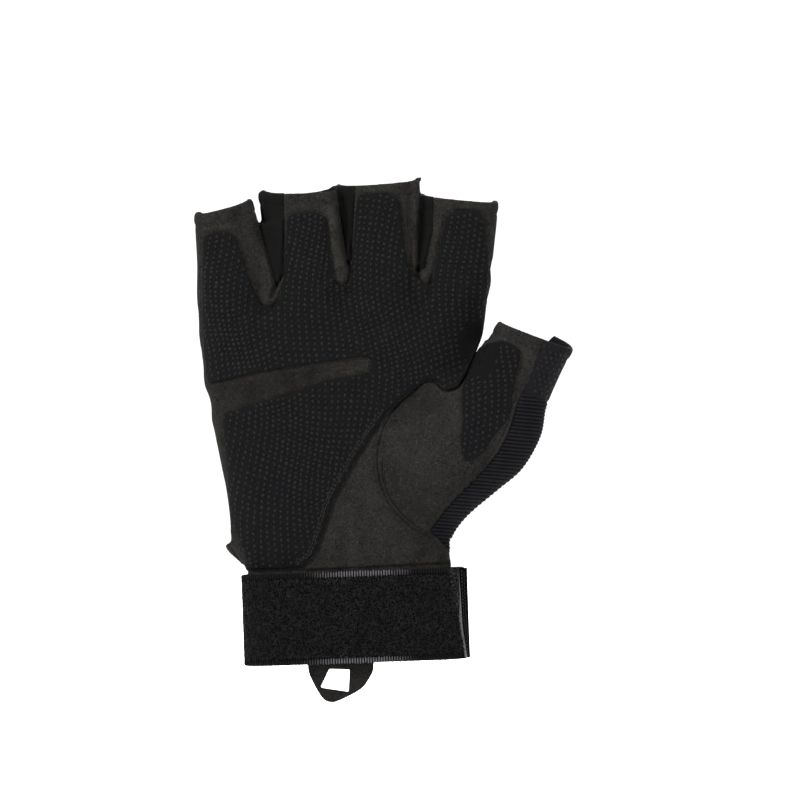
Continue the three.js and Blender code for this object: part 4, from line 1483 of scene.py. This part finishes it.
def build_tab(cloth):
    """The closing end of the strap, over the band at the back of the wrist."""
    half, corner = TAB["height"] / 2, TAB["corner"]
    up, t = np.meshgrid(np.linspace(-half, half, 44), np.linspace(0, 1, 76), indexing="ij")
    left = TAB["left"] + corner - np.sqrt(corner**2 - np.maximum(np.abs(up) - (half - corner), 0) ** 2)
    x = left + t * (TAB["right"] - left)
    along = STRAP_REACH - x
    along = np.where(along > STRAP_REACH, along - 2 * STRAP_REACH, along)
    rim = np.minimum(np.minimum(half - np.abs(up), x - left), TAB["right"] - x)
    out = TAB["off"] + TAB["thick"] - 0.5 * np.exp(-rim / 0.5) - 0.25 * bell(rim - 2.2, 0.5)
    vertices, faces = closed_patch(along, up, out, TAB["off"])
    make_piece("closing_tab_tape", (vertices, faces[:, ::-1]), cloth["tape"], ["strap_closing_tab"])


def build_pull_loop(cloth):
    """The suede loop, a sheet just inside the cuff's front with a hole in it."""
    grid = box_grid((-20, -22, -18), (11, -6, 11), LOOP_STEP)
    side, _ = tube_distance(tube_sections(PALM, grid), grid)
    clear = WALL + LOOP["clear"]
    sheet = np.maximum(side + clear, -(side + clear + LOOP["thick"]))
    edge = outline_distance(smoothed(PULL_LOOP_EDGE), grid.x, grid.z)
    outline = np.maximum(edge, -outline_distance(PULL_LOOP_HOLE, grid.x, grid.z))
    field = smooth_max(np.maximum(sheet, grid.y), lifted(outline), 1.0)
    net_piece("pull_loop_suede", field, grid, cloth["loop"], ["pull_loop"])


def materials():
    return {
        # The suedes, the grip knit and the dots carry painted shade and painted light in their ovals; the
        # selvedge has a painted sheen and the films painted glints.
        "suede": suede("suede", (0.002, 0.0019, 0.0017), (0.0122, 0.0117, 0.0106), 0.35, PALM_PAINTED_SHADING),
        "thumb_suede": suede(
            "thumb_suede", (0.0022, 0.0021, 0.0019), (0.0116, 0.0111, 0.0102), 0.5, THUMB_PAINTED_SHADING,
        ),
        "loop": suede("loop_suede", (0.002, 0.0019, 0.0018), (0.0098, 0.0094, 0.0088), 0.25),
        "grip_knit": knit_cloth(
            "grip_knit", (0.0011, 0.00112, 0.00118), (0.0033, 0.00335, 0.00345), painted_shading=[WEB_PAINTED_SHADE],
        ),
        "thumb_top": knit_cloth("thumb_top_knit", (0.0018, 0.0018, 0.002), (0.0054, 0.0054, 0.0062)),
        "back_knit": knit_cloth("back_knit", (0.0017, 0.0017, 0.0019), (0.008, 0.008, 0.0086)),
        "gusset": knit_cloth("gusset_knit", (0.0009, 0.0009, 0.0008), (0.0024, 0.0024, 0.0021), 0.05),
        "rib_knit": ribbed_knit(),
        "dots": rubber_dots(),
        "thread": thread("thread", (0.0055, 0.0053, 0.005), 0.05),
        "dark_thread": thread("dark_thread", (0.0048, 0.0046, 0.0042), 0),
        "edge_thread": thread("edge_thread", (0.0105, 0.0105, 0.0107), 0.05),
        "tape": woven_tape(),
        "selvedge": selvedge_yarn(),
        "pile_bed": pile("pile_bed", (0.0009, 0.0009, 0.001), (0.0024, 0.0024, 0.0026), 0.02),
        "pile_loops": pile("pile_loops", (0.0014, 0.0014, 0.0015), (0.0102, 0.0102, 0.0106), 0.08),
        "film": film("end_film", 0.3, 0.7, (0.001, 0.001, 0.001), 0.01, 30),
        "binding": thread("binding", (0.0016, 0.0016, 0.0017), 0),
        "gloss_film": film("gloss_film", 0.03, 0.2, (0.01, 0.01, 0.0105), 0.4, 2.2),
    }


def build_all():
    cloth = materials()
    grid = box_grid((-62, -31, -4), (83, 21.5, 178), COARSE)
    form = Form(grid)
    smooth = form.distance - wrinkles(grid) - left_tuck(grid)
    sunk = pressed_seams(form)
    edge = lifted(np.maximum(grip_zone(grid.x, grid.z), 0).astype(np.float32))
    rim = 0.4 * bell(edge, 0.7) - 0.2 * bell(edge - 1.5, 0.8)
    suede_level = smooth + sunk + rim * front_only(grid, GRIP_EDGE_Y)
    grip_level = smooth + 0.6 * sunk
    build_shell(form, cloth, suede_level)
    build_grip(form, cloth, grip_level)
    build_dots(form, cloth, grip_level)
    build_stitches(form, cloth, suede_level, grip_level)
    build_ribs(cloth)
    for build in (build_strap, build_selvedge, build_pile, build_end_wrap, build_tab, build_pull_loop):
        build(cloth)


add_camera()
add_studio()
build_all()
